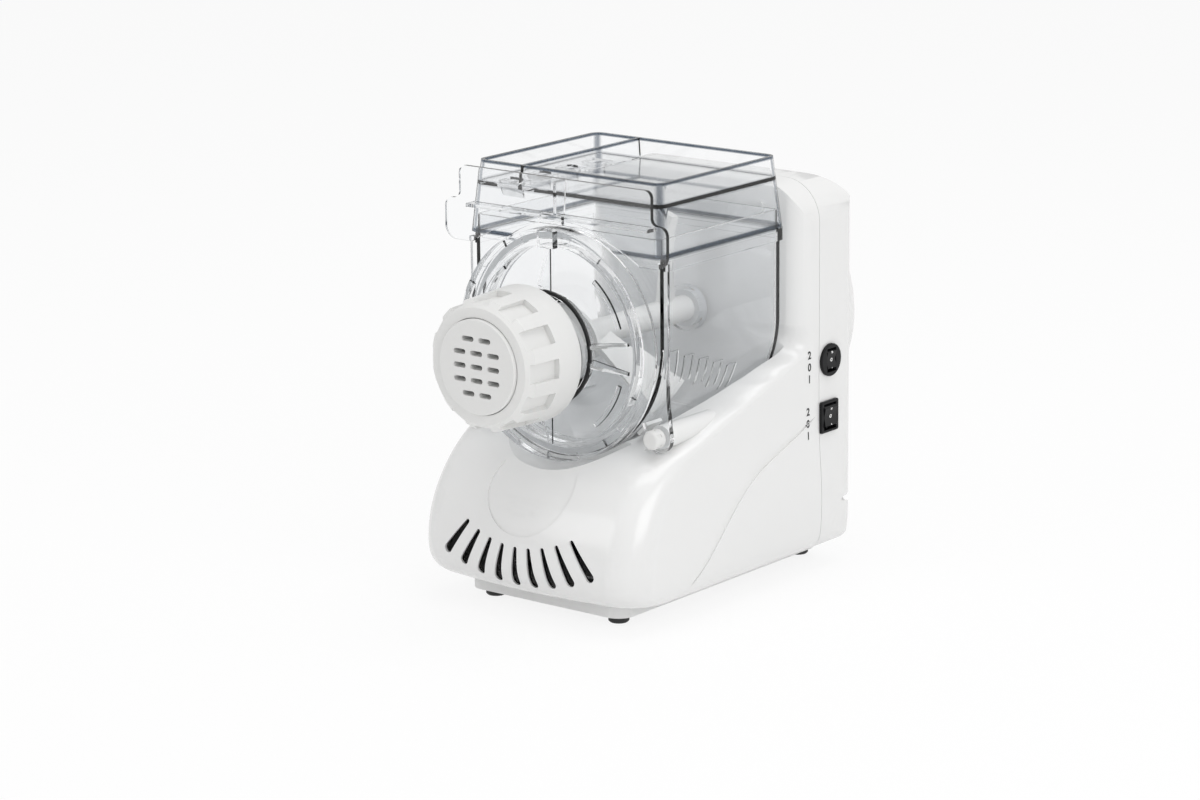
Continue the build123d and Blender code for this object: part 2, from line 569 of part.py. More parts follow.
def make_lid():
    """Clear lid: skirt over the tub's rim, a deck with a tray and a pour-in strip."""
    lid = lid_loft(LID_LOW_Z, HEIGHT, 0.0)
    lid -= lid_loft(LID_LOW_Z - 0.01, DECK_Z, LID_WALL)
    upper = lid_loft(DECK_Z + DECK_T, HEIGHT + 0.01, LID_WALL)
    upper -= block((DIVIDER_X - 1.2, DIVIDER_X + 1.2), (-80, 90), (DECK_Z, HEIGHT + 1))
    lid -= upper
    lid -= rod(RING_RADIUS + ARCH_ROOM, (-80, TUB_FRONT_Y - 1))
    slot_x = (12.5 - TUB_HALF, 30.5 - TUB_HALF)
    for i in range(4):
        y = -34.0 + 28.0 * i
        lid -= block(slot_x, (y - 3.5, y + 3.5), (DECK_Z - 1, DECK_Z + DECK_T + 1))
        fin = along_x(Polygon((y - 4, DECK_Z), (y - 9, DECK_Z), (y - 4, DECK_Z - 9), align=None), *slot_x)
        lid += fin
    return lid


def make_lid_guard():
    """Winged clear plate in front of the lid, with an arched underside and two ribs back to the lid."""
    half, neck = WIDTH / 2, WIDTH / 2 - 12.5
    top, step, low = HEIGHT - 2.0, HEIGHT - 24.5, BAND_TOP_Z - 3.8
    right = [(neck, top), (neck, step), (half, step), (half, low)]
    left = [(-x, z) for x, z in reversed(right)]
    plate = rounded(right + left, [5, 5, 6, 9, 9, 6, 5, 5])
    arch_top = SHAFT_Z + RING_RADIUS + 3.2
    plate -= Pos(0, arch_top - ARCH_RADIUS) * Circle(ARCH_RADIUS)
    guard = along_y(plate, -69.0, -66.0)
    shelf = block((4.0 - neck, neck - 4.0), (-66.0, -50), (arch_top + 2.5, arch_top + 4.9))
    rib = block((-1.3, 1.3), (-66.0, -50), (arch_top + 4.9, HEIGHT - 5.0))
    stop = block((-9, 9), (-72.0, -69.0), (arch_top + 0.3, arch_top + 6.0))
    lid_solid = lid_loft(LID_LOW_Z, HEIGHT, 0.0)
    return guard + ((shelf + rib) - lid_solid) + stop


# ================================================================ front disc, nut, die
def make_front_disc():
    """Clear disc with a spigot into the tub's mouth and the extrusion tube that carries the nut."""
    back = TUB_FRONT_Y - FLANGE_T - PART_GAP
    spigot = MOUTH_RADIUS - SLIDE_GAP
    disc = turned([
        (TUBE_BORE, RING_FRONT_Y + 3), (spigot - 3, RING_FRONT_Y + 3),
        (spigot - 3, TUB_FRONT_Y + 3), (spigot, TUB_FRONT_Y + 3), (spigot, back), (RING_RADIUS - 2.2, back),
        (RING_RADIUS - 2.2, back - 3.5), (RING_RADIUS, back - 3.5), (RING_RADIUS, RING_FRONT_Y),
        (TUBE_RADIUS, RING_FRONT_Y), (TUBE_RADIUS, TUBE_END_Y), (TUBE_MOUTH, TUBE_END_Y),
        (TUBE_MOUTH, TUBE_END_Y + 4), (TUBE_BORE, TUBE_END_Y + 16),
    ])
    for angle in (90, -90, 8.5, -8.5, 171.5, 188.5):
        rib = extrude(Plane.YZ * Polygon(
            (RING_FRONT_Y + 1, TUBE_RADIUS - 1), (-81.5, TUBE_RADIUS - 1), (-81.5, TUBE_RADIUS + 4.4),
            (-84.5, TUBE_RADIUS + 5.9), (RING_FRONT_Y - 2, RING_RADIUS - 11.3),
            (RING_FRONT_Y + 1, RING_RADIUS - 11.3), align=None), amount=1.1, both=True)
        disc += Pos(0, 0, SHAFT_Z) * Rot(0, 90 - angle, 0) * rib

    def segment(r_in, r_out, start, stop, height):
        ring = Circle(r_out) - Circle(r_in)
        a, b = math.radians(start), math.radians(stop)
        wedge = Polygon((0, 0), (200 * math.cos(a), 200 * math.sin(a)),
                        (200 * math.cos(b), 200 * math.sin(b)), align=None)
        return along_y(Pos(0, SHAFT_Z) * (ring & wedge), RING_FRONT_Y - height, RING_FRONT_Y + 0.5)

    for start in (18, 128, -52, -162):
        disc += segment(RING_RADIUS - 18.0, RING_RADIUS - 15.3, start, start + 34, 2.0)
    for start in range(-72, 280, 32):
        disc += segment(RING_RADIUS - 5.8, RING_RADIUS - 1.2, start, start + 20, 2.2)
    lug_face = rect(-6.5, 6.5, SHAFT_Z + RING_RADIUS - 11.3, SHAFT_Z + RING_RADIUS)
    lug = along_y(lug_face, RING_FRONT_Y - 5, RING_FRONT_Y + 0.5)
    disc += lug
    return disc


def make_cap_nut():
    """White cap nut: smooth skirt, twelve pockets that run out at the front bevel."""
    bore = TUBE_RADIUS + SLIDE_GAP
    lip_y = DIE_FLANGE_Y[0] - 0.1
    mouth = DIE_RADIUS + 0.5
    skirt = 2.5
    nut = turned([
        (bore, NUT_REAR_Y), (NUT_REAR_RADIUS - skirt, NUT_REAR_Y), (NUT_REAR_RADIUS - 0.7, NUT_REAR_Y - 0.7),
        (NUT_REAR_RADIUS, NUT_REAR_Y - skirt), (NUT_FRONT_RADIUS, NUT_FRONT_Y + 5),
        (NUT_FACE_RADIUS, NUT_FRONT_Y), (mouth, NUT_FRONT_Y), (mouth, lip_y), (bore, lip_y),
    ])
    pocket = block((-6.5, 6.5), (NUT_FRONT_Y - 1, NUT_REAR_Y - 22.6), (TUBE_RADIUS + 3.7, TUBE_RADIUS + 24))
    for i in range(NUT_POCKETS):
        nut -= Pos(0, 0, SHAFT_Z) * Rot(0, i * 360 / NUT_POCKETS, 0) * pocket
    return nut


def make_die():
    """Round die with rows of flat slots for ribbon pasta."""
    low, high = DIE_FLANGE_Y
    die = turned([
        (0, high), (DIE_FLANGE_RADIUS, high), (DIE_FLANGE_RADIUS, low), (DIE_RADIUS, low),
        (DIE_RADIUS, FRONT_Y + 0.6), (DIE_RADIUS - 0.6, FRONT_Y), (0, FRONT_Y),
    ])
    for row in range(-2, 3):
        z = SHAFT_Z + 9.0 * row
        for column in ((-1, 0, 1) if abs(row) < 2 else (-0.5, 0.5)):
            x = 14.0 * column
            die -= along_y(Pos(x, z) * SlotOverall(10.0, 3.4), FRONT_Y - 1, high + 1)
    return die


# ================================================================ kneader and feed screw
HUB_RADIUS = 9.0
HUB_END_Y = TOWER_FRONT_Y - 0.7
SCREW_Y = (TUBE_END_Y + 10.8, -50.0)
SCREW_RADIUS = TUBE_BORE - 0.9
SCREW_PITCH = 24.0
ARM_TIP = SHAFT_Z - (TROUGH_Z - TUB_HALF + TUB_WALL) - 2.0


def hexagon(flats):
    """A hexagon by its width across flats."""
    return RegularPolygon(flats / 2, 6, major_radius=False)


def make_kneader():
    """Hub with a hex socket and three twisted arms that sweep close to the trough."""
    hub = rod(HUB_RADIUS, (SCREW_Y[1] + 0.5, HUB_END_Y))
    hub -= along_y(Pos(0, SHAFT_Z) * hexagon(HEX_FLATS + 2 * RUN_GAP), 58, HUB_END_Y + 1)
    reach = rod(ARM_TIP, (-100, 100))
    for y, angle in ((50, 90), (12, 210), (-26, 330)):
        root = Plane.XY.offset(HUB_RADIUS - 3) * Rot(0, 0, 20) * Rectangle(7, 15)
        middle = Plane.XY.offset(ARM_TIP * 0.55) * Rot(0, 0, 38) * Rectangle(5.5, 20)
        tip = Plane.XY.offset(ARM_TIP + 1) * Rot(0, 0, 62) * Rectangle(5, 30)
        arm = Pos(0, y, SHAFT_Z) * Rot(0, 90 - angle, 0) * loft([root, middle, tip])
        hub += arm & reach
    return hub


def make_feed_screw():
    """Core with a helical flight that pushes the dough through the tube to the die."""
    length = SCREW_Y[1] - SCREW_Y[0]
    core = Cylinder(HUB_RADIUS, length + 6, align=(Align.CENTER, Align.CENTER, Align.MIN))
    turns_length = length - 5
    path = Helix(SCREW_PITCH, turns_length, HUB_RADIUS)
    flight_face = Plane(origin=(HUB_RADIUS - 1.0, 0, 0), x_dir=(1, 0, 0), z_dir=(0, 1, 0)) * Polygon(
        (0, -2.6), (SCREW_RADIUS - HUB_RADIUS + 1.0, -1.6), (SCREW_RADIUS - HUB_RADIUS + 1.0, 1.6), (0, 2.6),
        align=None)
    flight = sweep(flight_face, path=path, is_frenet=True)
    screw = core + Pos(0, 0, 2.7) * flight
    return Pos(0, SCREW_Y[1], SHAFT_Z) * Rot(90, 0, 0) * screw


# ================================================================ gears
def gear_face(teeth, module, first_tooth):
    """Outline of a spur gear with straight flanks inside the involute; first_tooth is an angle in degrees."""
    pitch = module * teeth / 2
    base = pitch * math.cos(PRESSURE_ANGLE)
    tip, root = pitch + 0.95 * module, pitch - 1.2 * module
    involute = lambda angle: math.tan(angle) - angle

    def half_angle(radius):
        slope = math.acos(min(1.0, base / radius))
        return math.pi / (2 * teeth) - BACKLASH / (2 * pitch) + involute(PRESSURE_ANGLE) - involute(slope)

    points = []
    for i in range(teeth):
        middle = math.radians(first_tooth) + 2 * math.pi * i / teeth
        for radius, angle in ((root, -half_angle(max(root, base))), (tip, -half_angle(tip)),
                              (tip, half_angle(tip)), (root, half_angle(max(root, base)))):
            points.append((radius * math.cos(middle + angle), radius * math.sin(middle + angle)))
    return make_face(Polyline(*points, close=True))


def gear(teeth, module, y, z, bore, tooth_up):
    """A gear along Y; tooth_up puts a tooth, or else a gap, on its upper side."""
    start = 90 if tooth_up else 90 + 180 / teeth
    face = gear_face(teeth, module, start) - Circle(bore)
    return along_y(Pos(0, z) * face, y[0], y[1])


# axes from the motor up to the output, one above the other
STEPS = [m * (p + w) / 2 for m, p, w in zip(MODULES, PINION_TEETH, WHEEL_TEETH)]
SECOND_Z = SHAFT_Z - STEPS[2]
FIRST_Z = SECOND_Z - STEPS[1]
MOTOR_Z = FIRST_Z - STEPS[0]
STAGE_Y = ((95.0, 103.0), (105.5, 115.0), (118.0, 131.5))


def down_phase(teeth):
    """True when a gear with a tooth on its upper side has a gap on its lower side."""
    return teeth % 2 == 1


def make_wheel(stage, z, bore):
    """The driven wheel of a stage, with a gap on its lower side to take the pinion's upper tooth."""
    teeth = WHEEL_TEETH[stage]
    wheel = gear(teeth, MODULES[stage], STAGE_Y[stage], z, bore, tooth_up=down_phase(teeth))
    web_in, web_out = bore + 5.0, MODULES[stage] * (teeth / 2 - 1.2) - 4.0
    y0, y1 = STAGE_Y[stage]
    wheel -= sleeve(web_out, web_in, (y0 - 1, y0 + 2.5), z=z)
    wheel -= sleeve(web_out, web_in, (y1 - 2.5, y1 + 1), z=z)
    return wheel


def make_compound(stage, z):
    """Wheel of one stage in one piece with the pinion of the next."""
    wheel = make_wheel(stage, z, AXLE_R)
    y0 = STAGE_Y[stage][1] - 3
    pinion = gear(PINION_TEETH[stage + 1], MODULES[stage + 1], (y0, STAGE_Y[stage + 1][1] + 0.5), z, AXLE_R,
                  True)
    return wheel + pinion


def gearbox_plate(y):
    """One steel side plate of the gearbox, with its bearing and pillar holes."""
    outline = rect(-42, 42, PILLARS[0][1] - 8, PILLARS[1][1] + 8, radius=8)
    plate = along_y(outline, y, y + PLATE_T)
    for z, radius in ((SHAFT_Z, 10.0), (SECOND_Z, 6.5), (FIRST_Z, 6.5)):
        plate -= rod(radius + SEAT_GAP, (y - 1, y + PLATE_T + 1), z=z)
    for x, z in PILLARS:
        plate -= rod(2.0 + SEAT_GAP, (y - 1, y + PLATE_T + 1), x=x, z=z)
    return plate


def make_pillars():
    """Four posts between the plates, with screwed ends."""
    made = []
    for x, z in PILLARS:
        post = rod(4.0, (FRONT_PLATE_Y + PLATE_T, REAR_PLATE_Y), x=x, z=z)
        post += rod(2.0, (FRONT_PLATE_Y, REAR_PLATE_Y + PLATE_T), x=x, z=z)
        post += rod(4.0, (REAR_PLATE_Y + PLATE_T, REAR_PLATE_Y + PLATE_T + 2.0), x=x, z=z)
        made.append(post)
    return Compound(children=made)


def make_bushes():
    """Plain bushes in both plates."""
    made = []
    for y in (FRONT_PLATE_Y, REAR_PLATE_Y):
        made.append(sleeve(10.0, OUTPUT_SHAFT_R + RUN_GAP, (y - 0.5, y + PLATE_T + 0.5)))
        for z in (SECOND_Z, FIRST_Z):
            made.append(sleeve(6.5, AXLE_R - 1 + RUN_GAP, (y - 0.5, y + PLATE_T + 0.5), z=z))
    return Compound(children=made)


def make_axle(z):
    """Steel axle with turned-down journals."""
    axle = rod(AXLE_R, (FRONT_PLATE_Y + PLATE_T + 0.8, REAR_PLATE_Y - 0.8), z=z)
    return axle + rod(AXLE_R - 1, (FRONT_PLATE_Y - 0.5, REAR_PLATE_Y + PLATE_T + 0.5), z=z)


def make_output_shaft():
    """Round shaft with a groove for its retaining ring and a hex nose for the kneader."""
    shaft = rod(OUTPUT_SHAFT_R, (TOWER_FRONT_Y + 0.3, REAR_PLATE_Y + PLATE_T + 2))
    shaft += along_y(Pos(0, SHAFT_Z) * hexagon(HEX_FLATS), 59, TOWER_FRONT_Y + 0.5)
    shaft -= sleeve(OUTPUT_SHAFT_R + 1, OUTPUT_SHAFT_R - 1, (87.0, 88.3))
    return shaft


# ================================================================ motor
def motor_square(half, radius=9.0):
    """The motor's rounded square section."""
    return Pos(0, MOTOR_Z) * RectangleRounded(2 * half, 2 * half, radius)


def make_stator():
    """Laminated core with a round bore."""
    core = along_y(motor_square(MOTOR_HALF) - Pos(0, MOTOR_Z) * Circle(21.0), *STATOR_Y)
    for x, z in motor_bolt_places():
        core -= rod(2.0 + SEAT_GAP, (-5, 55), x=x, z=z)
    return core


def motor_bolt_places():
    reach = MOTOR_HALF - 6.0
    return [(sx * reach, MOTOR_Z + sz * reach) for sx in (-1, 1) for sz in (-1, 1)]


def make_end_bell(y_open, y_end):
    """Cup over one end of the stator with a bearing seat and air slots."""
    low, high = min(y_open, y_end), max(y_open, y_end)
    bell = along_y(motor_square(MOTOR_HALF), low, high)
    wall_low, wall_high = (low + 3, high + 1) if y_end < y_open else (low - 1, high - 3)
    bell -= along_y(motor_square(MOTOR_HALF - 2.5, 6.5), wall_low, wall_high)
    bell -= rod(8.0 + SEAT_GAP, (low - 1, high + 1), z=MOTOR_Z)
    for x, z in motor_bolt_places():
        bell += rod(4.5, (low, high), x=x, z=z) & along_y(motor_square(MOTOR_HALF), low, high)
        bell -= rod(2.0 + SEAT_GAP, (low - 1, high + 1), x=x, z=z)
    for sign in (-1, 1):
        for k in (-1, 0, 1):
            bell -= block((sign * 21 - 5, sign * 21 + 5), (low - 1, high + 1),
                          (MOTOR_Z + 8 * k - 1.8, MOTOR_Z + 8 * k + 1.8))
    return bell


def make_windings():
    """Round coil heads at both ends of the stator."""
    heads = []
    for y0, y1 in ((STATOR_Y[0] - 9, STATOR_Y[0]), (STATOR_Y[1], STATOR_Y[1] + 9)):
        head = sleeve(29.0, 22.0, (y0, y1), z=MOTOR_Z)
        heads.append(head)
    return Compound(children=heads)


def make_motor_bolts():
    """Four through bolts with heads."""
    made = []
    for x, z in motor_bolt_places():
        bolt = rod(2.0, (STATOR_Y[0] - 15, STATOR_Y[1] + 15), x=x, z=z)
        bolt += rod(3.8, (STATOR_Y[0] - 17.5, STATOR_Y[0] - 15), x=x, z=z)
        bolt += rod(3.8, (STATOR_Y[1] + 15, STATOR_Y[1] + 18), x=x, z=z)
        made.append(bolt)
    return Compound(children=made)


def make_motor_bearings():
    """Sleeve bearings in the two end bells."""
    return Compound(children=[
        sleeve(8.0, AXLE_R + RUN_GAP, (STATOR_Y[0] - 15, STATOR_Y[0] - 8), z=MOTOR_Z),
        sleeve(8.0, AXLE_R + RUN_GAP, (STATOR_Y[1] + 8, STATOR_Y[1] + 15), z=MOTOR_Z),
    ])


def make_fan():
    """Cooling fan on the motor's front end."""
    y0, y1 = STATOR_Y[0] - 37, STATOR_Y[0] - 22
    fan = sleeve(9.0, AXLE_R, (y0, y1), z=MOTOR_Z) + sleeve(30.0, AXLE_R, (y1 - 1.6, y1), z=MOTOR_Z)
    for i in range(8):
        blade = block((-0.9, 0.9), (y0, y1), (6, 29.6))
        fan += Pos(0, 0, MOTOR_Z) * Rot(0, i * 45, 0) * blade
    return fan


def make_motor_cradle():
    """Bent steel saddle that carries the stator."""
    low = MOTOR_Z - MOTOR_HALF
    cradle = block((-MOTOR_HALF - 2.5, MOTOR_HALF + 2.5), (3, 47), (low - 2.5, low))
    for sign in (-1, 1):
        x = sorted((sign * MOTOR_HALF, sign * (MOTOR_HALF + 2.5)))
        cradle += block(x, (3, 47), (low - 2.5, low + 22))
    for x, y in mount_places():
        cradle -= along_z(Pos(x, y) * Circle(2.2), low - 5, low + 1)
    return cradle


def mount_places():
    return [(x, y) for x in (-24.0, 24.0) for y in (10.0, 40.0)]


def make_motor_mounts():
    """Rubber mounts between plinth and cradle."""
    low = MOTOR_Z - MOTOR_HALF - 2.5
    return Compound(children=[along_z(Pos(x, y) * Circle(6.5), FOOT_H + 2.5, low) for x, y in mount_places()])


# ================================================================ switches
def make_switch_body(place, case, bezel, half_y, half_z):
    """Switch with its bezel outside the skin and its case inside the wall; the rocker well is open."""
    y, z = place
    body = along_x(Pos(y, z) * case, SKIN_X - 18, SKIN_X)
    body += fillet(along_x(Pos(y, z) * bezel, SKIN_X, SKIN_X + BEZEL_T).edges().group_by(Axis.X)[-1], 0.7)
    body -= block((SKIN_X - 13, SKIN_X + 10), (y - half_y, y + half_y), (z - half_z, z + half_z))
    for dz in (-5, 0, 5):
        body += block((SKIN_X - 26, SKIN_X - 18), (y - 2.4, y + 2.4), (z + dz - 0.4, z + dz + 0.4))
    return body


def make_rocker(place, half_y, radius):
    """Three-position rocker: round ends about its pivot and a shallow V across its face."""
    y, z = place
    face = Circle(radius) & Polygon(
        (-0.55 * radius, -radius), (0.79 * radius, -radius), (0.6 * radius, 0), (0.79 * radius, radius),
        (-0.55 * radius, radius), align=None)
    return Pos(SKIN_X - ROCKER_PIVOT_DEPTH, 0, z) * along_y(face, y - half_y, y + half_y)


# ================================================================ write every piece
save(make_front_housing(*front_shell()), "front_housing")
save(make_rear_cover(*rear_shell()), "rear_cover")
save(make_base_plate(), "base_plate")
save(make_feet(), "rubber_feet")
save(screws(BASE_SCREWS, "up", FOOT_H + 4, 17), "base_screws")
save(screws(COVER_POSTS, "forward", SEAM_Y + 12, 24), "cover_screws")
x, z, hole = CORD
grommet = sleeve(hole, 3.6, (BODY_REAR_Y - 12, BODY_REAR_Y - 1), x=x, z=z)
grommet += sleeve(9.5, 3.6, (BODY_REAR_Y - 1, REAR_Y - 0.5), x=x, z=z)
save(grommet, "cord_inlet_bush")

save(make_tub(), "mixing_tub")
save(sleeve(13.0, HUB_RADIUS + RUN_GAP, (TUB_REAR_Y - TUB_WALL - 5, TUB_REAR_Y)), "tub_shaft_seal")
save(make_lid(), "lid")
save(make_lid_guard(), "lid_guard")
for side, x in (("left", -EAR_X), ("right", EAR_X)):
    face_y = TUB_FRONT_Y - FLANGE_T - 0.3
    knob = rod(6.5, (face_y - 8.5, face_y), x=x, z=EAR_Z)
    knob = fillet(knob.edges().group_by(Axis.Y)[0], 2.2)
    for i in range(6):
        notch = Pos(x, face_y - 7, EAR_Z) * Rot(0, 60 * i, 0) * block((-1.2, 1.2), (-5, 4), (5.9, 8))
        knob -= notch
    save(knob + rod(2.5, (face_y, -38.0), x=x, z=EAR_Z), f"thumb_screw_{side}")

save(make_front_disc(), "front_disc")
save(sleeve(RING_SEAL_RADIUS, TUBE_RADIUS + SEAT_GAP, RING_SEAL_Y), "tube_seal_ring")
save(sleeve(RING_RADIUS - 3, MOUTH_RADIUS + 0.4, (TUB_FRONT_Y - FLANGE_T - PART_GAP, TUB_FRONT_Y - FLANGE_T)),
     "disc_gasket")
save(make_cap_nut(), "cap_nut")
save(make_die(), "die")
save(sleeve(DIE_FLANGE_RADIUS - 0.2, TUBE_BORE + 0.5, (DIE_FLANGE_Y[1], TUBE_END_Y)), "die_gasket")

save(make_kneader(), "kneader")
save(make_feed_screw(), "feed_screw")

save(make_output_shaft(), "output_shaft")
save(make_wheel(2, SHAFT_Z, OUTPUT_SHAFT_R), "output_gear")
save(sleeve(11.0, OUTPUT_SHAFT_R - 1 + 0.02, (87.05, 88.25)), "shaft_retaining_ring")
save(sleeve(12.0, OUTPUT_SHAFT_R + RUN_GAP, (TOWER_FRONT_Y + 0.4, 86.0)) +
     sleeve(15.0, OUTPUT_SHAFT_R + RUN_GAP, (TOWER_FRONT_Y + WALL, 86.0)), "output_bearing")
save(make_compound(1, SECOND_Z), "second_gear")
save(make_axle(SECOND_Z), "second_axle")
save(make_compound(0, FIRST_Z), "first_gear")
save(make_axle(FIRST_Z), "first_axle")
save(gearbox_plate(FRONT_PLATE_Y), "gearbox_front_plate")
save(gearbox_plate(REAR_PLATE_Y), "gearbox_rear_plate")
save(make_pillars(), "gearbox_pillars")
save(make_bushes(), "gearbox_bushes")

pinion_y = (STAGE_Y[0][0] - 1, STAGE_Y[0][1] + 1)
save(gear(PINION_TEETH[0], MODULES[0], pinion_y, MOTOR_Z, AXLE_R, True), "motor_pinion")
save(rod(AXLE_R, (STATOR_Y[0] - 38, STAGE_Y[0][1] + 1.5), z=MOTOR_Z), "rotor_shaft")
save(sleeve(20.5, AXLE_R, STATOR_Y, z=MOTOR_Z), "rotor_core")
save(make_fan(), "cooling_fan")
save(make_stator(), "stator_core")
save(make_windings(), "stator_windings")
save(make_end_bell(STATOR_Y[0], STATOR_Y[0] - 15), "motor_front_bell")
save(make_end_bell(STATOR_Y[1], STATOR_Y[1] + 15), "motor_rear_bell")
save(make_motor_bolts(), "motor_bolts")
save(make_motor_bearings(), "motor_bearings")
save(make_motor_cradle(), "motor_cradle")
save(make_motor_mounts(), "motor_mounts")

save(make_switch_body(*SWITCHES[0], 5.2, 8.2), "round_switch_body")
save(make_rocker(ROUND_SWITCH, 5.0, 8.0), "round_switch_rocker")
save(make_switch_body(*SWITCHES[1], 7.2, 9.2), "square_switch_body")
save(make_rocker(SQUARE_SWITCH, 7.0, 9.0), "square_switch_rocker")

pin = rod(PIN_RADIUS, (PIN_FRONT_Y, 86.0), x=PIN_X, z=PIN_Z)
pin += rod(PIN_RADIUS + 2, (82.6, 86.0), x=PIN_X, z=PIN_Z)
save(pin, "interlock_pin")
switch_y, switch_z = (INTERLOCK_Y, INTERLOCK_Y + 10), (PIN_Z - 6, PIN_Z + 4)
save(block((PIN_X - 10, PIN_X + 10), switch_y, switch_z), "interlock_switch")
save(along_x(Pos(70.0, LIP_Z + WALL + 14.2) * Circle(14.0), 5.8 - SIDE_X, 39.8 - SIDE_X), "run_capacitor")
save(block((SIDE_X - 34.8, SIDE_X - 9.8), (60, 84), (LIP_Z + WALL, LIP_Z + WALL + 13.4)), "terminal_block")
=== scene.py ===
# %% [markdown]
# # An electric pasta maker, dressed around its CAD frame
# The pieces of this machine were modelled as exact solids and packed as a fixed frame: a white moulded
# housing, a clear tub with a clear lid, a clear front disc with its extrusion tube, a white cap nut and die,
# and the motor and gears inside. This lesson adds what makes them look real: the camera and light, one
# finish for each material, the printed marks, and a slimmer sealing ring than the solids have.
# The first cell loads the frame.

# %% Load the frame
import math

import bmesh
import bpy
from mathutils import Matrix, Vector
from mathutils.bvhtree import BVHTree


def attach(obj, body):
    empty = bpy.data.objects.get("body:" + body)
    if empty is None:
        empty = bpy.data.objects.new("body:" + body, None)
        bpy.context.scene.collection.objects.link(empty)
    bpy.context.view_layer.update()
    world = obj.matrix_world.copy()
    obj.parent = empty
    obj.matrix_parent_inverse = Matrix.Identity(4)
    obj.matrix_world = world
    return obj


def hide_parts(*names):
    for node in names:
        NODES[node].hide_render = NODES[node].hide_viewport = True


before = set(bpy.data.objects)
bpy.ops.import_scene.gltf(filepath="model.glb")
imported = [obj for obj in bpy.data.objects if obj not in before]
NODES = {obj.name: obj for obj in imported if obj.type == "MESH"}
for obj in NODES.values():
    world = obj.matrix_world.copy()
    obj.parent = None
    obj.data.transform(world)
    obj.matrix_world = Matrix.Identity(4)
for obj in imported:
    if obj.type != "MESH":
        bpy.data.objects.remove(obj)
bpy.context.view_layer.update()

MM = 0.001

# %% [markdown]
# ## The camera
# A product camera stands far away with a long lens, so that parallel edges stay nearly parallel. It looks at
# the machine's front right corner from a little above. The aim point, the distance and the lens are set as
# numbers, and a small shift moves the frame without turning the camera.

# %% Set up the camera
AZIMUTH = math.radians(38.4166)
ELEVATION = math.radians(13.8533)
ROLL = math.radians(-0.4972)
DISTANCE = 2650.73 * MM
AIM_HEIGHT = 146 * MM                          # half the machine's height
AIM_ACROSS, AIM_UP = -5.70 * MM, -12.47 * MM   # from there to the point that the camera faces
IMAGE_WIDTH, IMAGE_HEIGHT = 1200, 800
FOCAL_PIXELS = 3957.95
CENTRE_PIXEL = (611.79, 392.36)
SENSOR_WIDTH = 36                              # in millimetres, as Blender takes it
FARTHEST = 50                                  # nothing beyond these metres is drawn

back = Vector((math.sin(AZIMUTH) * math.cos(ELEVATION), -math.cos(AZIMUTH) * math.cos(ELEVATION),
               math.sin(ELEVATION)))
right = Vector((math.cos(AZIMUTH), math.sin(AZIMUTH), 0))
up = back.cross(right)
right, up = (right * math.cos(ROLL) + up * math.sin(ROLL), up * math.cos(ROLL) - right * math.sin(ROLL))
eye = Vector((0, 0, AIM_HEIGHT)) + back * DISTANCE + right * AIM_ACROSS + up * AIM_UP

camera = bpy.data.objects.new("camera", bpy.data.cameras.new("camera"))
bpy.context.scene.collection.objects.link(camera)
camera.matrix_world = Matrix.Translation(eye) @ Matrix((right, up, back)).transposed().to_4x4()
camera.data.sensor_width = SENSOR_WIDTH
camera.data.lens = SENSOR_WIDTH * FOCAL_PIXELS / IMAGE_WIDTH
camera.data.shift_x = (IMAGE_WIDTH / 2 - CENTRE_PIXEL[0]) / IMAGE_WIDTH
camera.data.shift_y = (CENTRE_PIXEL[1] - IMAGE_HEIGHT / 2) / IMAGE_WIDTH
camera.data.clip_end = FARTHEST
bpy.context.scene.camera = camera
bpy.context.scene.view_settings.view_transform = "Standard"
print("lens", round(camera.data.lens, 1), "mm")

# %% [markdown]
# ## Writing shader maths as sums
# Blender's materials are graphs of nodes. Even a sum of five terms takes four nodes and eight links, which is
# slow to write and hard to read. Here one small class wraps a socket and overloads +, -, * and /, so that
# `1 - mask` adds the Math node by itself.

# %% A socket that can be used in sums
class Signal:
    """A number that varies over a surface: the output of some node."""

    def __init__(self, finish, socket):
        self.finish, self.socket = finish, socket

    def _math(self, operation, a, b):
        return self.finish.add("ShaderNodeMath", {"operation": operation}, {0: a, 1: b})

    def __add__(self, other):
        return self._math("ADD", self, other)

    def __sub__(self, other):
        return self._math("SUBTRACT", self, other)

    def __rsub__(self, other):
        return self._math("SUBTRACT", other, self)

    def __mul__(self, other):
        return self._math("MULTIPLY", self, other)

    def __truediv__(self, other):
        return self._math("DIVIDE", self, other)

    def __abs__(self):
        return self._math("ABSOLUTE", self, 0.0)

    __radd__ = __add__
    __rmul__ = __mul__

    def low(self, other):
        return self._math("MINIMUM", self, other)

    def high(self, other):
        return self._math("MAXIMUM", self, other)

    def root(self):
        return self._math("SQRT", self, 0.0)

    def ramp(self, start, end):
        """0 where the signal is at start, 1 where it is at end, and smooth between them."""
        return self.finish.add("ShaderNodeMapRange", {"interpolation_type": "SMOOTHSTEP"},
                               {"Value": self, "From Min": start, "From Max": end})


print("signals ready")

# %% [markdown]
# ## A material with its nodes
# Every finish starts from one Principled shader. A second class owns that material and adds any other node in
# one call: its type, its own settings, then its sockets. All patterns read the point on the piece in metres,
# in the machine's own frame, so they keep their real scale and don't slide when a body moves.

# %% A finish
MIX_A, MIX_B, MIX_RESULT = 6, 7, 2             # a Mix node's two colour sockets and its colour output
WALL_SHADE = (0.95, 0.955, 0.96, 1)            # what one clear wall leaves of a lamp's light


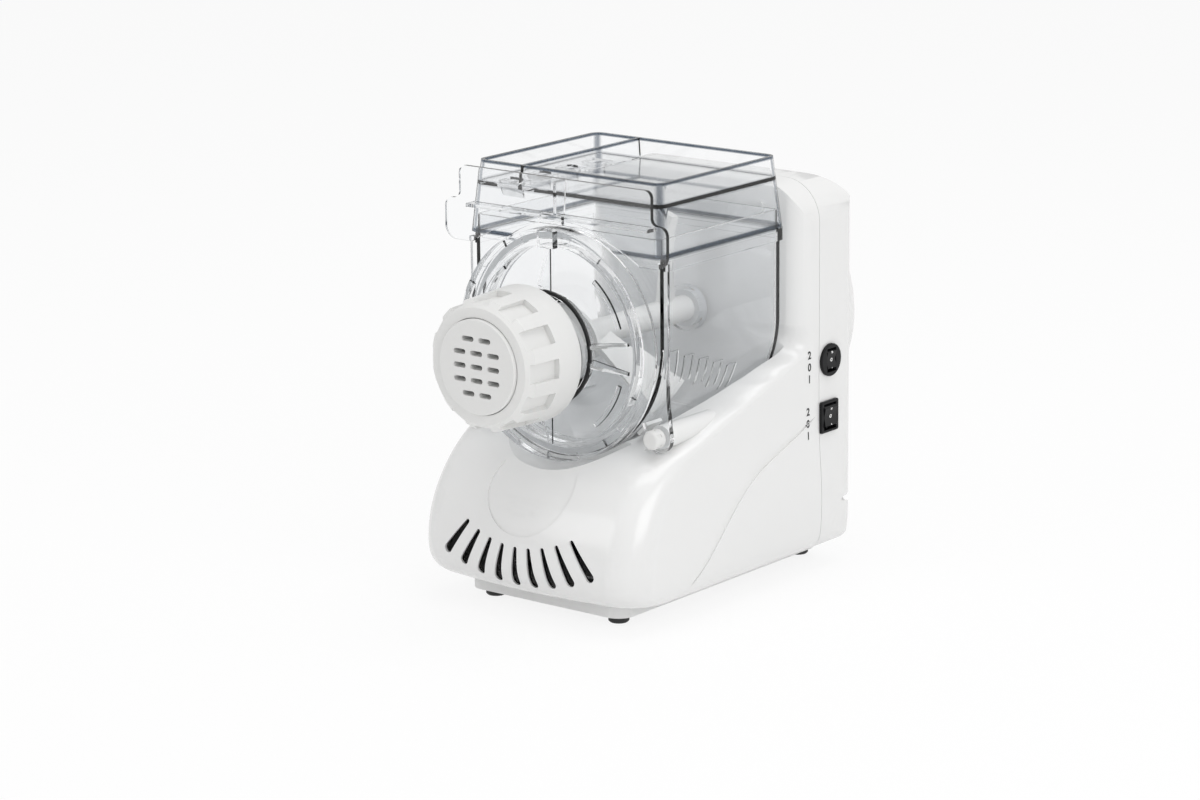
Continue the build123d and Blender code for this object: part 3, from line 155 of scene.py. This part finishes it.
class Finish:
    """A material: one Principled shader and the nodes that feed it."""

    def __init__(self, name, color, roughness, **fixed):
        self.material = bpy.data.materials.new(name)
        self.material.use_nodes = True
        self.tree = self.material.node_tree
        self.shader = self.tree.nodes["Principled BSDF"]
        self.set("Base Color", (*color, 1))
        self.set("Roughness", roughness)
        for key, value in fixed.items():
            self.set(key.replace("_", " "), value)

    def set(self, socket, value):
        self._feed(self.shader.inputs[socket], value)

    def _feed(self, socket, value):
        if isinstance(value, Signal):
            self.tree.links.new(value.socket, socket)
        else:
            socket.default_value = value

    def add(self, kind, settings=None, values=None, output=0):
        """Adds a node, sets its own settings first and then its sockets, and returns one output."""
        node = self.tree.nodes.new(kind)
        for key, value in (settings or {}).items():
            setattr(node, key, value)
        for key, value in (values or {}).items():
            self._feed(node.inputs[key], value)
        return Signal(self, node.outputs[output])

    def place(self):
        """The point on the piece, in metres, in the machine's own frame."""
        return self.add("ShaderNodeTexCoord", output="Object")

    def axes(self):
        """The point's x, y and z as three signals."""
        split = self.add("ShaderNodeSeparateXYZ", None, {"Vector": self.place()})
        return [Signal(self, split.socket.node.outputs[i]) for i in range(3)]

    def noise(self, scale, detail=2.0, stretch=(1, 1, 1)):
        """Cloudy noise from 0 to 1; scale is in lumps per metre."""
        mapped = self.add("ShaderNodeMapping", None, {"Vector": self.place(), "Scale": stretch})
        return self.add("ShaderNodeTexNoise", None, {"Vector": mapped, "Scale": scale, "Detail": detail})

    def blend_color(self, mask, low, high):
        """A colour that goes from low to high as the mask goes from 0 to 1."""
        node = self.tree.nodes.new("ShaderNodeMix")
        node.data_type = "RGBA"
        self._feed(node.inputs[0], mask)
        for index, value in ((MIX_A, low), (MIX_B, high)):
            self._feed(node.inputs[index], value if isinstance(value, Signal) else (*value, 1))
        return Signal(self, node.outputs[MIX_RESULT])

    def bump(self, height, strength, distance):
        """Turns a height signal into a normal; distance is the height of one unit, in metres."""
        values = {"Height": height, "Strength": strength, "Distance": distance}
        self.set("Normal", self.add("ShaderNodeBump", None, values))

    def let_lamps_through(self):
        """Lamps and bounced light pass straight through, because a clear wall throws almost no shadow."""
        rays = self.add("ShaderNodeLightPath").socket.node.outputs
        passing = Signal(self, rays["Is Shadow Ray"]).high(Signal(self, rays["Is Diffuse Ray"]))
        open_air = self.add("ShaderNodeBsdfTransparent", None, {"Color": WALL_SHADE})
        choose = self.add("ShaderNodeMixShader", None, {
            0: passing, 1: Signal(self, self.shader.outputs[0]), 2: open_air})
        self.tree.links.new(choose.socket, self.tree.nodes["Material Output"].inputs["Surface"])


print("finishes ready")

# %% [markdown]
# ## Moulded plastic
# Glossy white ABS is never one flat value. Its colour drifts a little from thick to thin places, the polish
# varies in soft clouds, and the skin has a faint ripple that bends the reflections. Three noises do this, one
# each for colour, roughness and bump, all in real-world scale. Satin pieces add a very fine grain to their
# bump.

# %% Moulded plastic
CLOUDS, POLISH, RIPPLES, GRAIN = 14, 55, 38, 2600      # lumps per metre


def moulded(name, color, roughness, drift=0.02, ripple=0.04 * MM, grain=0.0, **fixed):
    """Moulded plastic: slow colour drift, uneven polish and a faint ripple or grain in the skin."""
    finish = Finish(name, color, roughness, **fixed)
    darker = [max(0.0, c * (1 - drift)) for c in color]
    lighter = [min(1.0, c * (1 + drift)) for c in color]
    finish.shade = finish.blend_color(finish.noise(CLOUDS, 3), darker, lighter)
    finish.set("Base Color", finish.shade)
    finish.set("Roughness", roughness * 0.8 + finish.noise(POLISH, 4) * (roughness * 0.4))
    height = finish.noise(RIPPLES, 2)
    if grain:
        height = height + finish.noise(GRAIN, 2) * grain
    finish.bump(height, 0.35, ripple)
    return finish


print("moulded plastic ready")

# %% [markdown]
# ## Painted shade behind the vents
# Vent slots look black, because hardly any light comes back out of them. The housing is one white shell
# here, so that shade is painted: its material turns black a little way behind the outer skin. The nose is a
# large round above its centre, flat below it and a small round at the heel, and it bows back to both sides.
# The depth under that skin is worked out from the same sizes, so the painted black stays inside the slots.

# %% Painted shade inside the nose
NOSE_CENTRE, NOSE_ROUND = (33 * MM, 38 * MM), 81 * MM  # how far forward and how high its centre is
HEEL_CENTRE, HEEL_ROUND = (94 * MM, 37 * MM), 20 * MM
BOW_ROUND = 400 * MM                                   # the front's round, seen from above
SKIN = (1.0 * MM, 1.8 * MM)                            # white down to the first depth, black from the second
VENTS_HALF = (72 * MM, 74 * MM)                        # the black fades out over these bands
VENTS_TOP = (80 * MM, 84 * MM)
VENTS_LOW = (19 * MM, 23 * MM)
# painted shade: black put into the colour behind the vent slots, where little light comes back
VENT_PAINTED_SHADE = (0.006, 0.006, 0.006)


def paint_shade_behind_vents(finish):
    """White outside only: a little way behind the nose's skin everything is painted black, as painted shade.
    """
    x, y, z = finish.axes()
    nose = (y * -1 - NOSE_CENTRE[0], (z - NOSE_CENTRE[1]).high(0.0))
    heel = (y * -1 - HEEL_CENTRE[0], (HEEL_CENTRE[1] - z).high(0.0))
    depths = [radius - (a * a + b * b).root() for radius, (a, b) in ((NOSE_ROUND, nose), (HEEL_ROUND, heel))]
    depth = depths[0].low(depths[1]) - x * x / (2 * BOW_ROUND)
    near_vents = (1 - abs(x).ramp(*VENTS_HALF)) * (1 - z.ramp(*VENTS_TOP)) * z.ramp(*VENTS_LOW)
    # paints the black shade into the housing's colour behind the slots
    finish.set("Base Color", finish.blend_color(depth.ramp(*SKIN) * near_vents, finish.shade, VENT_PAINTED_SHADE))


print("vent black ready")

# %% [markdown]
# ## The plastics and rubbers of this machine
# The housing is high gloss with a thin coat, while the parts that a hand or the dough touches are satin. The
# switches are black with little reflection, because a white room would turn them grey.

# %% Plastics and rubbers
GLOSS = dict(color=(0.80, 0.80, 0.795), roughness=0.20, drift=0.012, Coat_Weight=0.25, Coat_Roughness=0.06)
FINE = 0.02 * MM                               # the ripple of a satin skin
INK = 0.005 * MM
RUBBERY = 0.03 * MM
SOFT_DEPTH = 0.004                             # how far light spreads in silicone, in metres

white_gloss = moulded("white gloss housing", **GLOSS)
vented_gloss = moulded("white gloss housing with vents", **GLOSS)
# paints black shade into the housing's gloss behind the vent slots
paint_shade_behind_vents(vented_gloss)
white_satin = moulded("white satin moulding", (0.76, 0.76, 0.75), 0.42, ripple=FINE, grain=0.6)
white_plinth = moulded("white plinth", (0.84, 0.84, 0.835), 0.38, drift=0.015, ripple=FINE, grain=0.4)
black_switch = moulded("black switch body", (0.010, 0.010, 0.011), 0.36, drift=0.1, ripple=FINE, grain=0.8,
                       Specular_IOR_Level=0.16)
black_rocker = moulded("black rocker", (0.008, 0.008, 0.009), 0.14, drift=0.1, Specular_IOR_Level=0.22)
black_print = moulded("black printed ink", (0.012, 0.012, 0.013), 0.45, drift=0.1, ripple=INK)
white_print = moulded("white printed ink", (0.78, 0.78, 0.77), 0.45, ripple=INK)
black_rubber = moulded("black rubber", (0.022, 0.022, 0.022), 0.62, drift=0.15, ripple=RUBBERY, grain=1.5)
silicone = moulded("translucent silicone", (0.62, 0.63, 0.64), 0.36, drift=0.03, Subsurface_Weight=0.3,
                   Subsurface_Radius=(SOFT_DEPTH, SOFT_DEPTH, SOFT_DEPTH), Subsurface_Scale=0.5)
gear_nylon = moulded("natural nylon", (0.72, 0.69, 0.60), 0.40, drift=0.03, ripple=FINE, grain=0.5)
terminal_plastic = moulded("terminal plastic", (0.70, 0.68, 0.60), 0.38, drift=0.03)
print("plastics:", len(bpy.data.materials))

# %% [markdown]
# ## Metals
# The gearbox plates are zinc-plated sheet, the bushes are sintered bronze, the motor's end bells are die cast
# and its core is a stack of thin sheets. Plated sheet shows long faint rolling lines, and cast metal a fine
# orange peel.

# %% Plated and cast metal
ROLLING_LINES = (1, 1, 0.04)                   # the noise is drawn out along z


def plated(name, color, roughness, stretch):
    """Plated or drawn metal with faint lines along one direction."""
    finish = Finish(name, color, roughness, Metallic=1.0)
    lines = finish.noise(900, 2, stretch)
    finish.set("Roughness", roughness * 0.75 + lines * (roughness * 0.5))
    finish.set("Base Color", finish.blend_color(finish.noise(30, 3), [c * 0.93 for c in color], color))
    finish.bump(lines, 0.3, 0.01 * MM)
    return finish


def cast(name, color, roughness, grains):
    """Cast or sintered metal, with so many grains to the metre."""
    finish = Finish(name, color, roughness, Metallic=1.0)
    grain = finish.noise(grains, 3)
    finish.set("Base Color", finish.blend_color(grain, [c * 0.85 for c in color], color))
    finish.set("Roughness", roughness * 0.8 + grain * (roughness * 0.4))
    finish.bump(grain, 0.4, 0.03 * MM)
    return finish


steel = plated("plated steel", (0.58, 0.58, 0.59), 0.30, ROLLING_LINES)
zinc_cast = cast("die-cast zinc", (0.55, 0.56, 0.57), 0.42, 900)
bronze = cast("sintered bronze", (0.62, 0.44, 0.20), 0.40, 1800)
print("metals ready")

# %% [markdown]
# ## The motor's core and windings
# The core's stack shows its half-millimetre sheets, which are a wave along the shaft in both colour and bump.
# The windings are many turns of enamelled copper wire: a wave that climbs as it goes round the motor's axis.

# %% Laminations and copper
SHEET = 0.5 * MM
MOTOR_AXIS_Z = 59 * MM
STRANDS_AROUND = 14                            # waves in one turn about the axis
STRANDS_ALONG = 5200                           # waves to the metre along the shaft, times 2 pi

laminations = Finish("laminated core", (0.30, 0.30, 0.32), 0.45, Metallic=0.9)
layer = laminations.axes()[1] * (2 * math.pi / SHEET)
ridge = laminations.add("ShaderNodeMath", {"operation": "SINE"}, {0: layer})
dark_sheet, bright_sheet = (0.16, 0.16, 0.17), (0.36, 0.36, 0.38)
laminations.set("Base Color", laminations.blend_color(ridge.ramp(-1, 1), dark_sheet, bright_sheet))
laminations.bump(ridge, 0.5, 0.04 * MM)

copper = Finish("enamelled copper", (0.50, 0.20, 0.08), 0.28, Metallic=0.8, Coat_Weight=0.5)
x, y, z = copper.axes()
around = copper.add("ShaderNodeMath", {"operation": "ARCTAN2"}, {0: z - MOTOR_AXIS_Z, 1: x})
strand = copper.add("ShaderNodeMath", {"operation": "SINE"}, {0: around * STRANDS_AROUND + y * STRANDS_ALONG})
copper.set("Base Color", copper.blend_color(strand.ramp(-1, 1), (0.28, 0.09, 0.04), (0.58, 0.25, 0.10)))
copper.bump(strand, 0.8, 0.2 * MM)
print("materials:", len(bpy.data.materials))

# %% [markdown]
# ## Clear plastic
# The tub, lid, guard and disc are clear polycarbonate about two to four millimetres thick. A clear wall is
# nearly invisible face on and shows by its edges, where light travels along the sheet and comes out
# grey-blue. The shader is real refraction with a little tint, and that edge light is painted on as shade:
# one mask paints dark grey-blue into the colour of the lid's rims and corners, and another into the tub's
# upper border. They use the pieces' own sizes, so the painted shade stays on the edges from every side.

# %% Clear plastic
CLEAR_TINT = (0.985, 0.99, 0.995)
# dark grey-blue painted into the clear walls' colour at rims and corners, as painted shade
PAINTED_EDGE_SHADE = (0.10, 0.125, 0.16)
CLEAR_ROUGHNESS = 0.03


def clear(name, shade_mask=None):
    """Clear polycarbonate; the mask, if given, takes the finish and returns 1 where painted shade darkens a
    rim or corner.
    """
    finish = Finish(name, CLEAR_TINT, CLEAR_ROUGHNESS, Transmission_Weight=1.0, IOR=1.46)
    haze = finish.noise(60, 3)
    finish.set("Roughness", CLEAR_ROUGHNESS * 0.5 + haze * CLEAR_ROUGHNESS)
    if shade_mask:
        # paints the dark grey-blue edge shade into the colour where the mask is 1
        edges = finish.blend_color(shade_mask(finish), (1, 1, 1), PAINTED_EDGE_SHADE)
        multiply = {"data_type": "RGBA", "blend_type": "MULTIPLY"}
        colors = {0: 1.0, MIX_A: (*CLEAR_TINT, 1), MIX_B: edges}
        finish.set("Base Color", finish.add("ShaderNodeMix", multiply, colors, MIX_RESULT))
    else:
        finish.set("Base Color", finish.blend_color(haze, [c * 0.985 for c in CLEAR_TINT], CLEAR_TINT))
    finish.bump(finish.noise(25, 2), 0.15, 0.05 * MM)
    finish.let_lamps_through()
    return finish


def stripe(signal, centre, band):
    """1 at the centre value and 0 away from it, fading over the band of distances."""
    return 1 - abs(signal - centre).ramp(*band)


print("clear plastic ready")

# %% [markdown]
# ## Where painted shade darkens the lid and the tub
# The lid is a box that leans in towards its top, so the distance to a side wall depends on the height. Where
# the distances to a side and to an end are both small, there is an upright corner.

# %% Painted edge shade masks
LID_LOW_Z, LID_RISE = 244 * MM, 48 * MM
LID_HALF, LID_FRONT, LID_REAR = 81 * MM, 59 * MM, 77.5 * MM            # at the lower border
LEAN_SIDE, LEAN_FRONT, LEAN_REAR = 4.2 * MM, 4.3 * MM, 4.5 * MM        # how far each wall leans in
NEAR_WALL = (-6 * MM, -3 * MM)
RIM_BAND = (289.6 * MM, 290.8 * MM)
LID_BORDER_Z, LID_BORDER_BAND = 244.9 * MM, (0.9 * MM, 1.8 * MM)
DECK_Z, DECK_BAND = 276.8 * MM, (1.4 * MM, 2.6 * MM)
TUB_BORDER_Z, TUB_BORDER_BAND = 243.0 * MM, (0.4 * MM, 0.9 * MM)
# how strongly the painted shade darkens the corners, the deck's edge and the tub's border
CORNER_SHARE, DECK_SHARE, TUB_SHARE = 0.9, 0.35, 0.6


def lid_edge_shade(finish):
    """Painted shade on the rim on top, the lower border, the four upright corners and the deck's edge of the
    lid.
    """
    x, y, z = finish.axes()
    rise = (z - LID_LOW_Z) / LID_RISE
    beside = abs(x) + rise * LEAN_SIDE - LID_HALF
    ends = ((y * -1) + rise * LEAN_FRONT - LID_FRONT).high(y + rise * LEAN_REAR - LID_REAR)
    corners = beside.ramp(*NEAR_WALL) * ends.ramp(*NEAR_WALL)
    border = stripe(z, LID_BORDER_Z, LID_BORDER_BAND)
    deck = stripe(z, DECK_Z, DECK_BAND) * beside.high(ends).ramp(*NEAR_WALL)
    return z.ramp(*RIM_BAND).high(border).high(corners * CORNER_SHARE).high(deck * DECK_SHARE)


def tub_edge_shade(finish):
    """Painted shade on the tub's upper border, where the lid sits on it."""
    return stripe(finish.axes()[2], TUB_BORDER_Z, TUB_BORDER_BAND) * TUB_SHARE


lid_clear = clear("clear lid", lid_edge_shade)
tub_clear = clear("clear tub", tub_edge_shade)
plain_clear = clear("clear polycarbonate")
print("clear finishes ready")

# %% [markdown]
# ## Dressing the CAD pieces
# The imported pieces arrive as loose triangles. Three modifiers make them read as moulded surfaces while
# their meshes stay as they are: Weld joins the triangles, Edge Split keeps every corner sharper than 30
# degrees crisp, and Weighted Normal lets the big flat faces set the shading beside small fillets.

# %% Give every node its finish
CRISP_ANGLE = math.radians(30)
SAME_POINT = 0.001 * MM                        # vertices this close are one

FINISHES = {
    "front_housing": vented_gloss, "rear_cover": white_gloss, "base_plate": white_plinth,
    "rubber_feet": black_rubber, "base_screws": steel, "cover_screws": steel, "cord_inlet_bush": black_rubber,
    "mixing_tub": tub_clear, "tub_shaft_seal": silicone, "lid": lid_clear, "lid_guard": plain_clear,
    "thumb_screw_left": white_satin, "thumb_screw_right": white_satin,
    "front_disc": plain_clear, "tube_seal_ring": black_rubber, "disc_gasket": silicone,
    "cap_nut": white_satin, "die": white_satin, "die_gasket": silicone,
    "kneader": white_satin, "feed_screw": white_satin,
    "output_shaft": steel, "output_gear": gear_nylon, "shaft_retaining_ring": steel, "output_bearing": bronze,
    "second_gear": gear_nylon, "second_axle": steel, "first_gear": gear_nylon, "first_axle": steel,
    "gearbox_front_plate": steel, "gearbox_rear_plate": steel, "gearbox_pillars": steel,
    "gearbox_bushes": bronze, "motor_pinion": bronze, "rotor_shaft": steel, "rotor_core": laminations,
    "cooling_fan": black_switch, "stator_core": laminations, "stator_windings": copper,
    "motor_front_bell": zinc_cast, "motor_rear_bell": zinc_cast, "motor_bolts": steel,
    "motor_bearings": bronze, "motor_cradle": steel, "motor_mounts": black_rubber,
    "round_switch_body": black_switch, "round_switch_rocker": black_rocker,
    "square_switch_body": black_switch, "square_switch_rocker": black_rocker,
    "interlock_pin": white_satin, "interlock_switch": black_switch, "run_capacitor": zinc_cast,
    "terminal_block": terminal_plastic,
}


def shade(piece, finish):
    """One finish, smooth shading, and crisp corners."""
    mesh = piece.data
    mesh.materials.clear()
    mesh.materials.append(finish.material)
    mesh.polygons.foreach_set("use_smooth", [True] * len(mesh.polygons))
    piece.modifiers.new("weld", "WELD").merge_threshold = SAME_POINT
    piece.modifiers.new("corners", "EDGE_SPLIT").split_angle = CRISP_ANGLE
    piece.modifiers.new("flats", "WEIGHTED_NORMAL").keep_sharp = True


for node, piece in NODES.items():
    shade(piece, FINISHES[node])
print("dressed", len(NODES), "nodes")

# %% [markdown]
# ## Printed marks
# The switches carry plain marks: numbers beside each one and an off ring and position bars on the rockers. A
# text is made a mesh first, then every vertex is dropped along x onto the CAD surface under it, so the ink
# follows the flank and the rockers' V. The ink stands a tenth of a millimetre proud, as raised pad printing.

# %% Ink on a curved skin
INK_RISE = 0.1 * MM
INK_SPREAD = 0.22 * MM                         # thickens the strokes, as pad printing does
OUTSIDE = 0.2                                  # a place to the right of the machine, in metres


def surface_of(node):
    """A tree of the node's triangles, to find the skin under a point."""
    return BVHTree.FromObject(NODES[node], bpy.context.evaluated_depsgraph_get())


def printed(name, text, size, y, z, skin, body, finish):
    """Flat text on the right side, centred on (y, z) and laid on the skin below it."""
    curve = bpy.data.curves.new(name, "FONT")
    curve.body, curve.size, curve.offset = text, size, INK_SPREAD
    curve.align_x, curve.align_y = "CENTER", "CENTER"
    source = bpy.data.objects.new(name, curve)
    bpy.context.scene.collection.objects.link(source)
    bpy.context.view_layer.update()
    mesh = bpy.data.meshes.new_from_object(source.evaluated_get(bpy.context.evaluated_depsgraph_get()))
    bpy.data.objects.remove(source)
    for vertex in mesh.vertices:
        spot = (y + vertex.co.x, z + vertex.co.y)
        hit = skin.ray_cast(Vector((OUTSIDE, *spot)), Vector((-1, 0, 0)))[0]
        vertex.co = (hit.x + INK_RISE, *spot)
    piece = bpy.data.objects.new(name, mesh)
    bpy.context.scene.collection.objects.link(piece)
    mesh.materials.append(finish.material)
    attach(piece, body)


print("ink ready")

# %% [markdown]
# ## Numbers and rocker marks
# Each switch has three positions: off in the middle and a direction to each side. A column of three numbers
# stands in front of it, and the rocker itself carries a ring for off and one or two bars for the directions.

# %% Numbers and rocker marks
SWITCHES = {"round": (115.0 * MM, 146.5 * MM), "square": (113.5 * MM, 107.5 * MM)}     # centres, y and z
NUMBERS = ((1, "2"), (0, "0"), (-1, "1"))      # how many rows up, and the text
ROCKER_MARKS = ((1, "="), (0, "O"), (-1, "-"))
NUMBER_SIZE, NUMBER_ROW = 7.4 * MM, 8.3 * MM
NUMBER_BACK = 23 * MM                          # from a switch's centre to its column of numbers
NUMBER_DROP = 1.5 * MM
MARK_SIZE, MARK_ROW = 3.0 * MM, 5.2 * MM

housing_skin = surface_of("front_housing")
for shape, (y, z) in SWITCHES.items():
    for row, text in NUMBERS:
        place = (y - NUMBER_BACK, z - NUMBER_DROP + row * NUMBER_ROW)
        printed(f"{shape}_number_{text}", text, NUMBER_SIZE, *place, housing_skin, "base", black_print)
    rocker_skin = surface_of(f"{shape}_switch_rocker")
    for row, text in ROCKER_MARKS:
        printed(f"{shape}_rocker_mark_{row + 2}", text, MARK_SIZE, y, z + row * MARK_ROW, rocker_skin,
                f"{shape}_rocker", white_print)
print("marks printed:", len(SWITCHES) * (len(NUMBERS) + len(ROCKER_MARKS)))

# %% [markdown]
# ## The ring on the extrusion tube
# The CAD ring stays for collision, and a slimmer rubber band with rounded lips stands for it. Its half
# profile is turned about the tube's axis with one spin.

# %% Slim sealing ring
TUBE_AXIS_Z = 179.0 * MM
RING_INNER, RING_OUTER, RING_LIP = 36.65 * MM, 38.9 * MM, 0.6 * MM
RING_Y = (-78.4 * MM, -80.4 * MM)              # rear and front
SPIN_STEPS, LIP_POINTS = 96, 5


def turned(name, profile, body, finish):
    """A closed profile of (radius, y) points turned about the tube's axis."""
    mesh = bpy.data.meshes.new(name)
    shell = bmesh.new()
    ring = [shell.verts.new((radius, y, TUBE_AXIS_Z)) for radius, y in profile]
    edges = [shell.edges.new((a, b)) for a, b in zip(ring, ring[1:] + ring[:1])]
    bmesh.ops.spin(shell, geom=ring + edges, cent=(0, 0, TUBE_AXIS_Z), axis=(0, 1, 0), angle=2 * math.pi,
                   steps=SPIN_STEPS, use_merge=True)
    bmesh.ops.remove_doubles(shell, verts=shell.verts, dist=SAME_POINT)
    bmesh.ops.recalc_face_normals(shell, faces=shell.faces)
    shell.to_mesh(mesh)
    shell.free()
    piece = bpy.data.objects.new(name, mesh)
    bpy.context.scene.collection.objects.link(piece)
    shade(piece, finish)
    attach(piece, body)
    return piece


def rounded_band(inner, outer, rear, front, lip):
    """A rectangle in (radius, y) whose two outer corners are quarter rounds."""
    points = [(inner, rear), (inner, front)]
    for centre_y, start in ((front + lip, -90), (rear - lip, 0)):
        for i in range(LIP_POINTS):
            angle = math.radians(start + 90 * i / (LIP_POINTS - 1))
            points.append((outer - lip + lip * math.cos(angle), centre_y + lip * math.sin(angle)))
    return points


ring_profile = rounded_band(RING_INNER, RING_OUTER, *RING_Y, RING_LIP)
slim_ring = turned("tube_seal_band", ring_profile, "disc", black_rubber)
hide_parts("tube_seal_ring")
print("ring faces:", len(slim_ring.data.polygons))

# %% [markdown]
# ## The studio
# The machine stands on a white sweep under soft light. A white background that comes from strong lamps would
# burn out the white housing, so the backdrop's white is seen only by the camera and by reflections, and the
# lamps stay low enough to keep the housing's own grey shading.

# %% White only where it is looked at
def clamped(tree, operation, first, second):
    """A Math node on two sockets or numbers, held between 0 and 1."""
    node = tree.nodes.new("ShaderNodeMath")
    node.operation, node.use_clamp = operation, True
    for socket, value in zip(node.inputs, (first, second)):
        if isinstance(value, float):
            socket.default_value = value
        else:
            tree.links.new(value, socket)
    return node.outputs[0]


def white_where_seen(tree, lit, white, output, share):
    """Mixes a share of plain white into a lit shader, for rays from the camera, a mirror or glass."""
    rays = tree.nodes.new("ShaderNodeLightPath").outputs
    mirrored = clamped(tree, "ADD", rays["Is Glossy Ray"], rays["Is Transmission Ray"])
    seen = clamped(tree, "ADD", rays["Is Camera Ray"], mirrored)
    choose = tree.nodes.new("ShaderNodeMixShader")
    sources = (clamped(tree, "MULTIPLY", seen, share), lit.outputs[0], white.outputs[0])
    for socket, source in zip(choose.inputs, sources):
        tree.links.new(source, socket)
    tree.links.new(choose.outputs[0], output.inputs[0])


print("backdrop helper ready")

# %% [markdown]
# ## World and floor
# The world fills the shadows with a low white light, and looks pale where a ray reaches it. The floor is matt
# paper that keeps the machine's shadow: a little of its own shading stays under the white.

# %% World and floor
FILL_LIGHT = 0.62
SKY_SEEN, SKY_SHARE = (0.8, 0.8, 0.8, 1), 1.0
PAPER, PAPER_ROUGHNESS = (0.92, 0.92, 0.92, 1), 0.9
PAPER_WHITE_SHARE = 0.86
FLOOR_SIZE = 60

scene = bpy.context.scene
world = bpy.data.worlds.new("studio")
world.use_nodes = True
scene.world = world
tree = world.node_tree
fill = tree.nodes["Background"]
fill.inputs["Color"].default_value = (1, 1, 1, 1)
fill.inputs["Strength"].default_value = FILL_LIGHT
sky = tree.nodes.new("ShaderNodeBackground")
sky.inputs["Color"].default_value = SKY_SEEN
white_where_seen(tree, fill, sky, tree.nodes["World Output"], SKY_SHARE)

bpy.ops.mesh.primitive_plane_add(size=FLOOR_SIZE, location=(0, 0, 0))
floor = bpy.context.object
floor.name = "floor"
floor_mat = bpy.data.materials.new("white sweep")
floor_mat.use_nodes = True
tree = floor_mat.node_tree
paper = tree.nodes["Principled BSDF"]
paper.inputs["Base Color"].default_value = PAPER
paper.inputs["Roughness"].default_value = PAPER_ROUGHNESS
glow = tree.nodes.new("ShaderNodeEmission")
white_where_seen(tree, paper, glow, tree.nodes["Material Output"], PAPER_WHITE_SHARE)
floor.data.materials.append(floor_mat)
print("world and floor ready")

# %% [markdown]
# ## Lamps
# Three large soft boxes: one above, one on the switch side and a weaker one in front. Their size in metres
# sets how soft the shadows are, and their power in watts stays low, so that the white plastic doesn't burn
# out.

# %% Soft boxes
LAMP_AIM = Vector((0, 0, 0.14))                # about the machine's middle


def soft_lamp(name, place, size, power):
    """A square area lamp that faces the machine's middle."""
    lamp = bpy.data.lights.new(name, "AREA")
    lamp.size = size
    lamp.energy = power
    holder = bpy.data.objects.new(name, lamp)
    holder.location = place
    holder.rotation_euler = (LAMP_AIM - Vector(place)).to_track_quat("-Z", "Y").to_euler()
    scene.collection.objects.link(holder)


soft_lamp("top box", (0.3, 0.1, 2.2), 1.6, 16)
soft_lamp("right box", (2.2, -0.6, 1.1), 1.4, 14)
soft_lamp("front box", (-0.9, -2.4, 1.2), 1.2, 7)
print("studio ready")
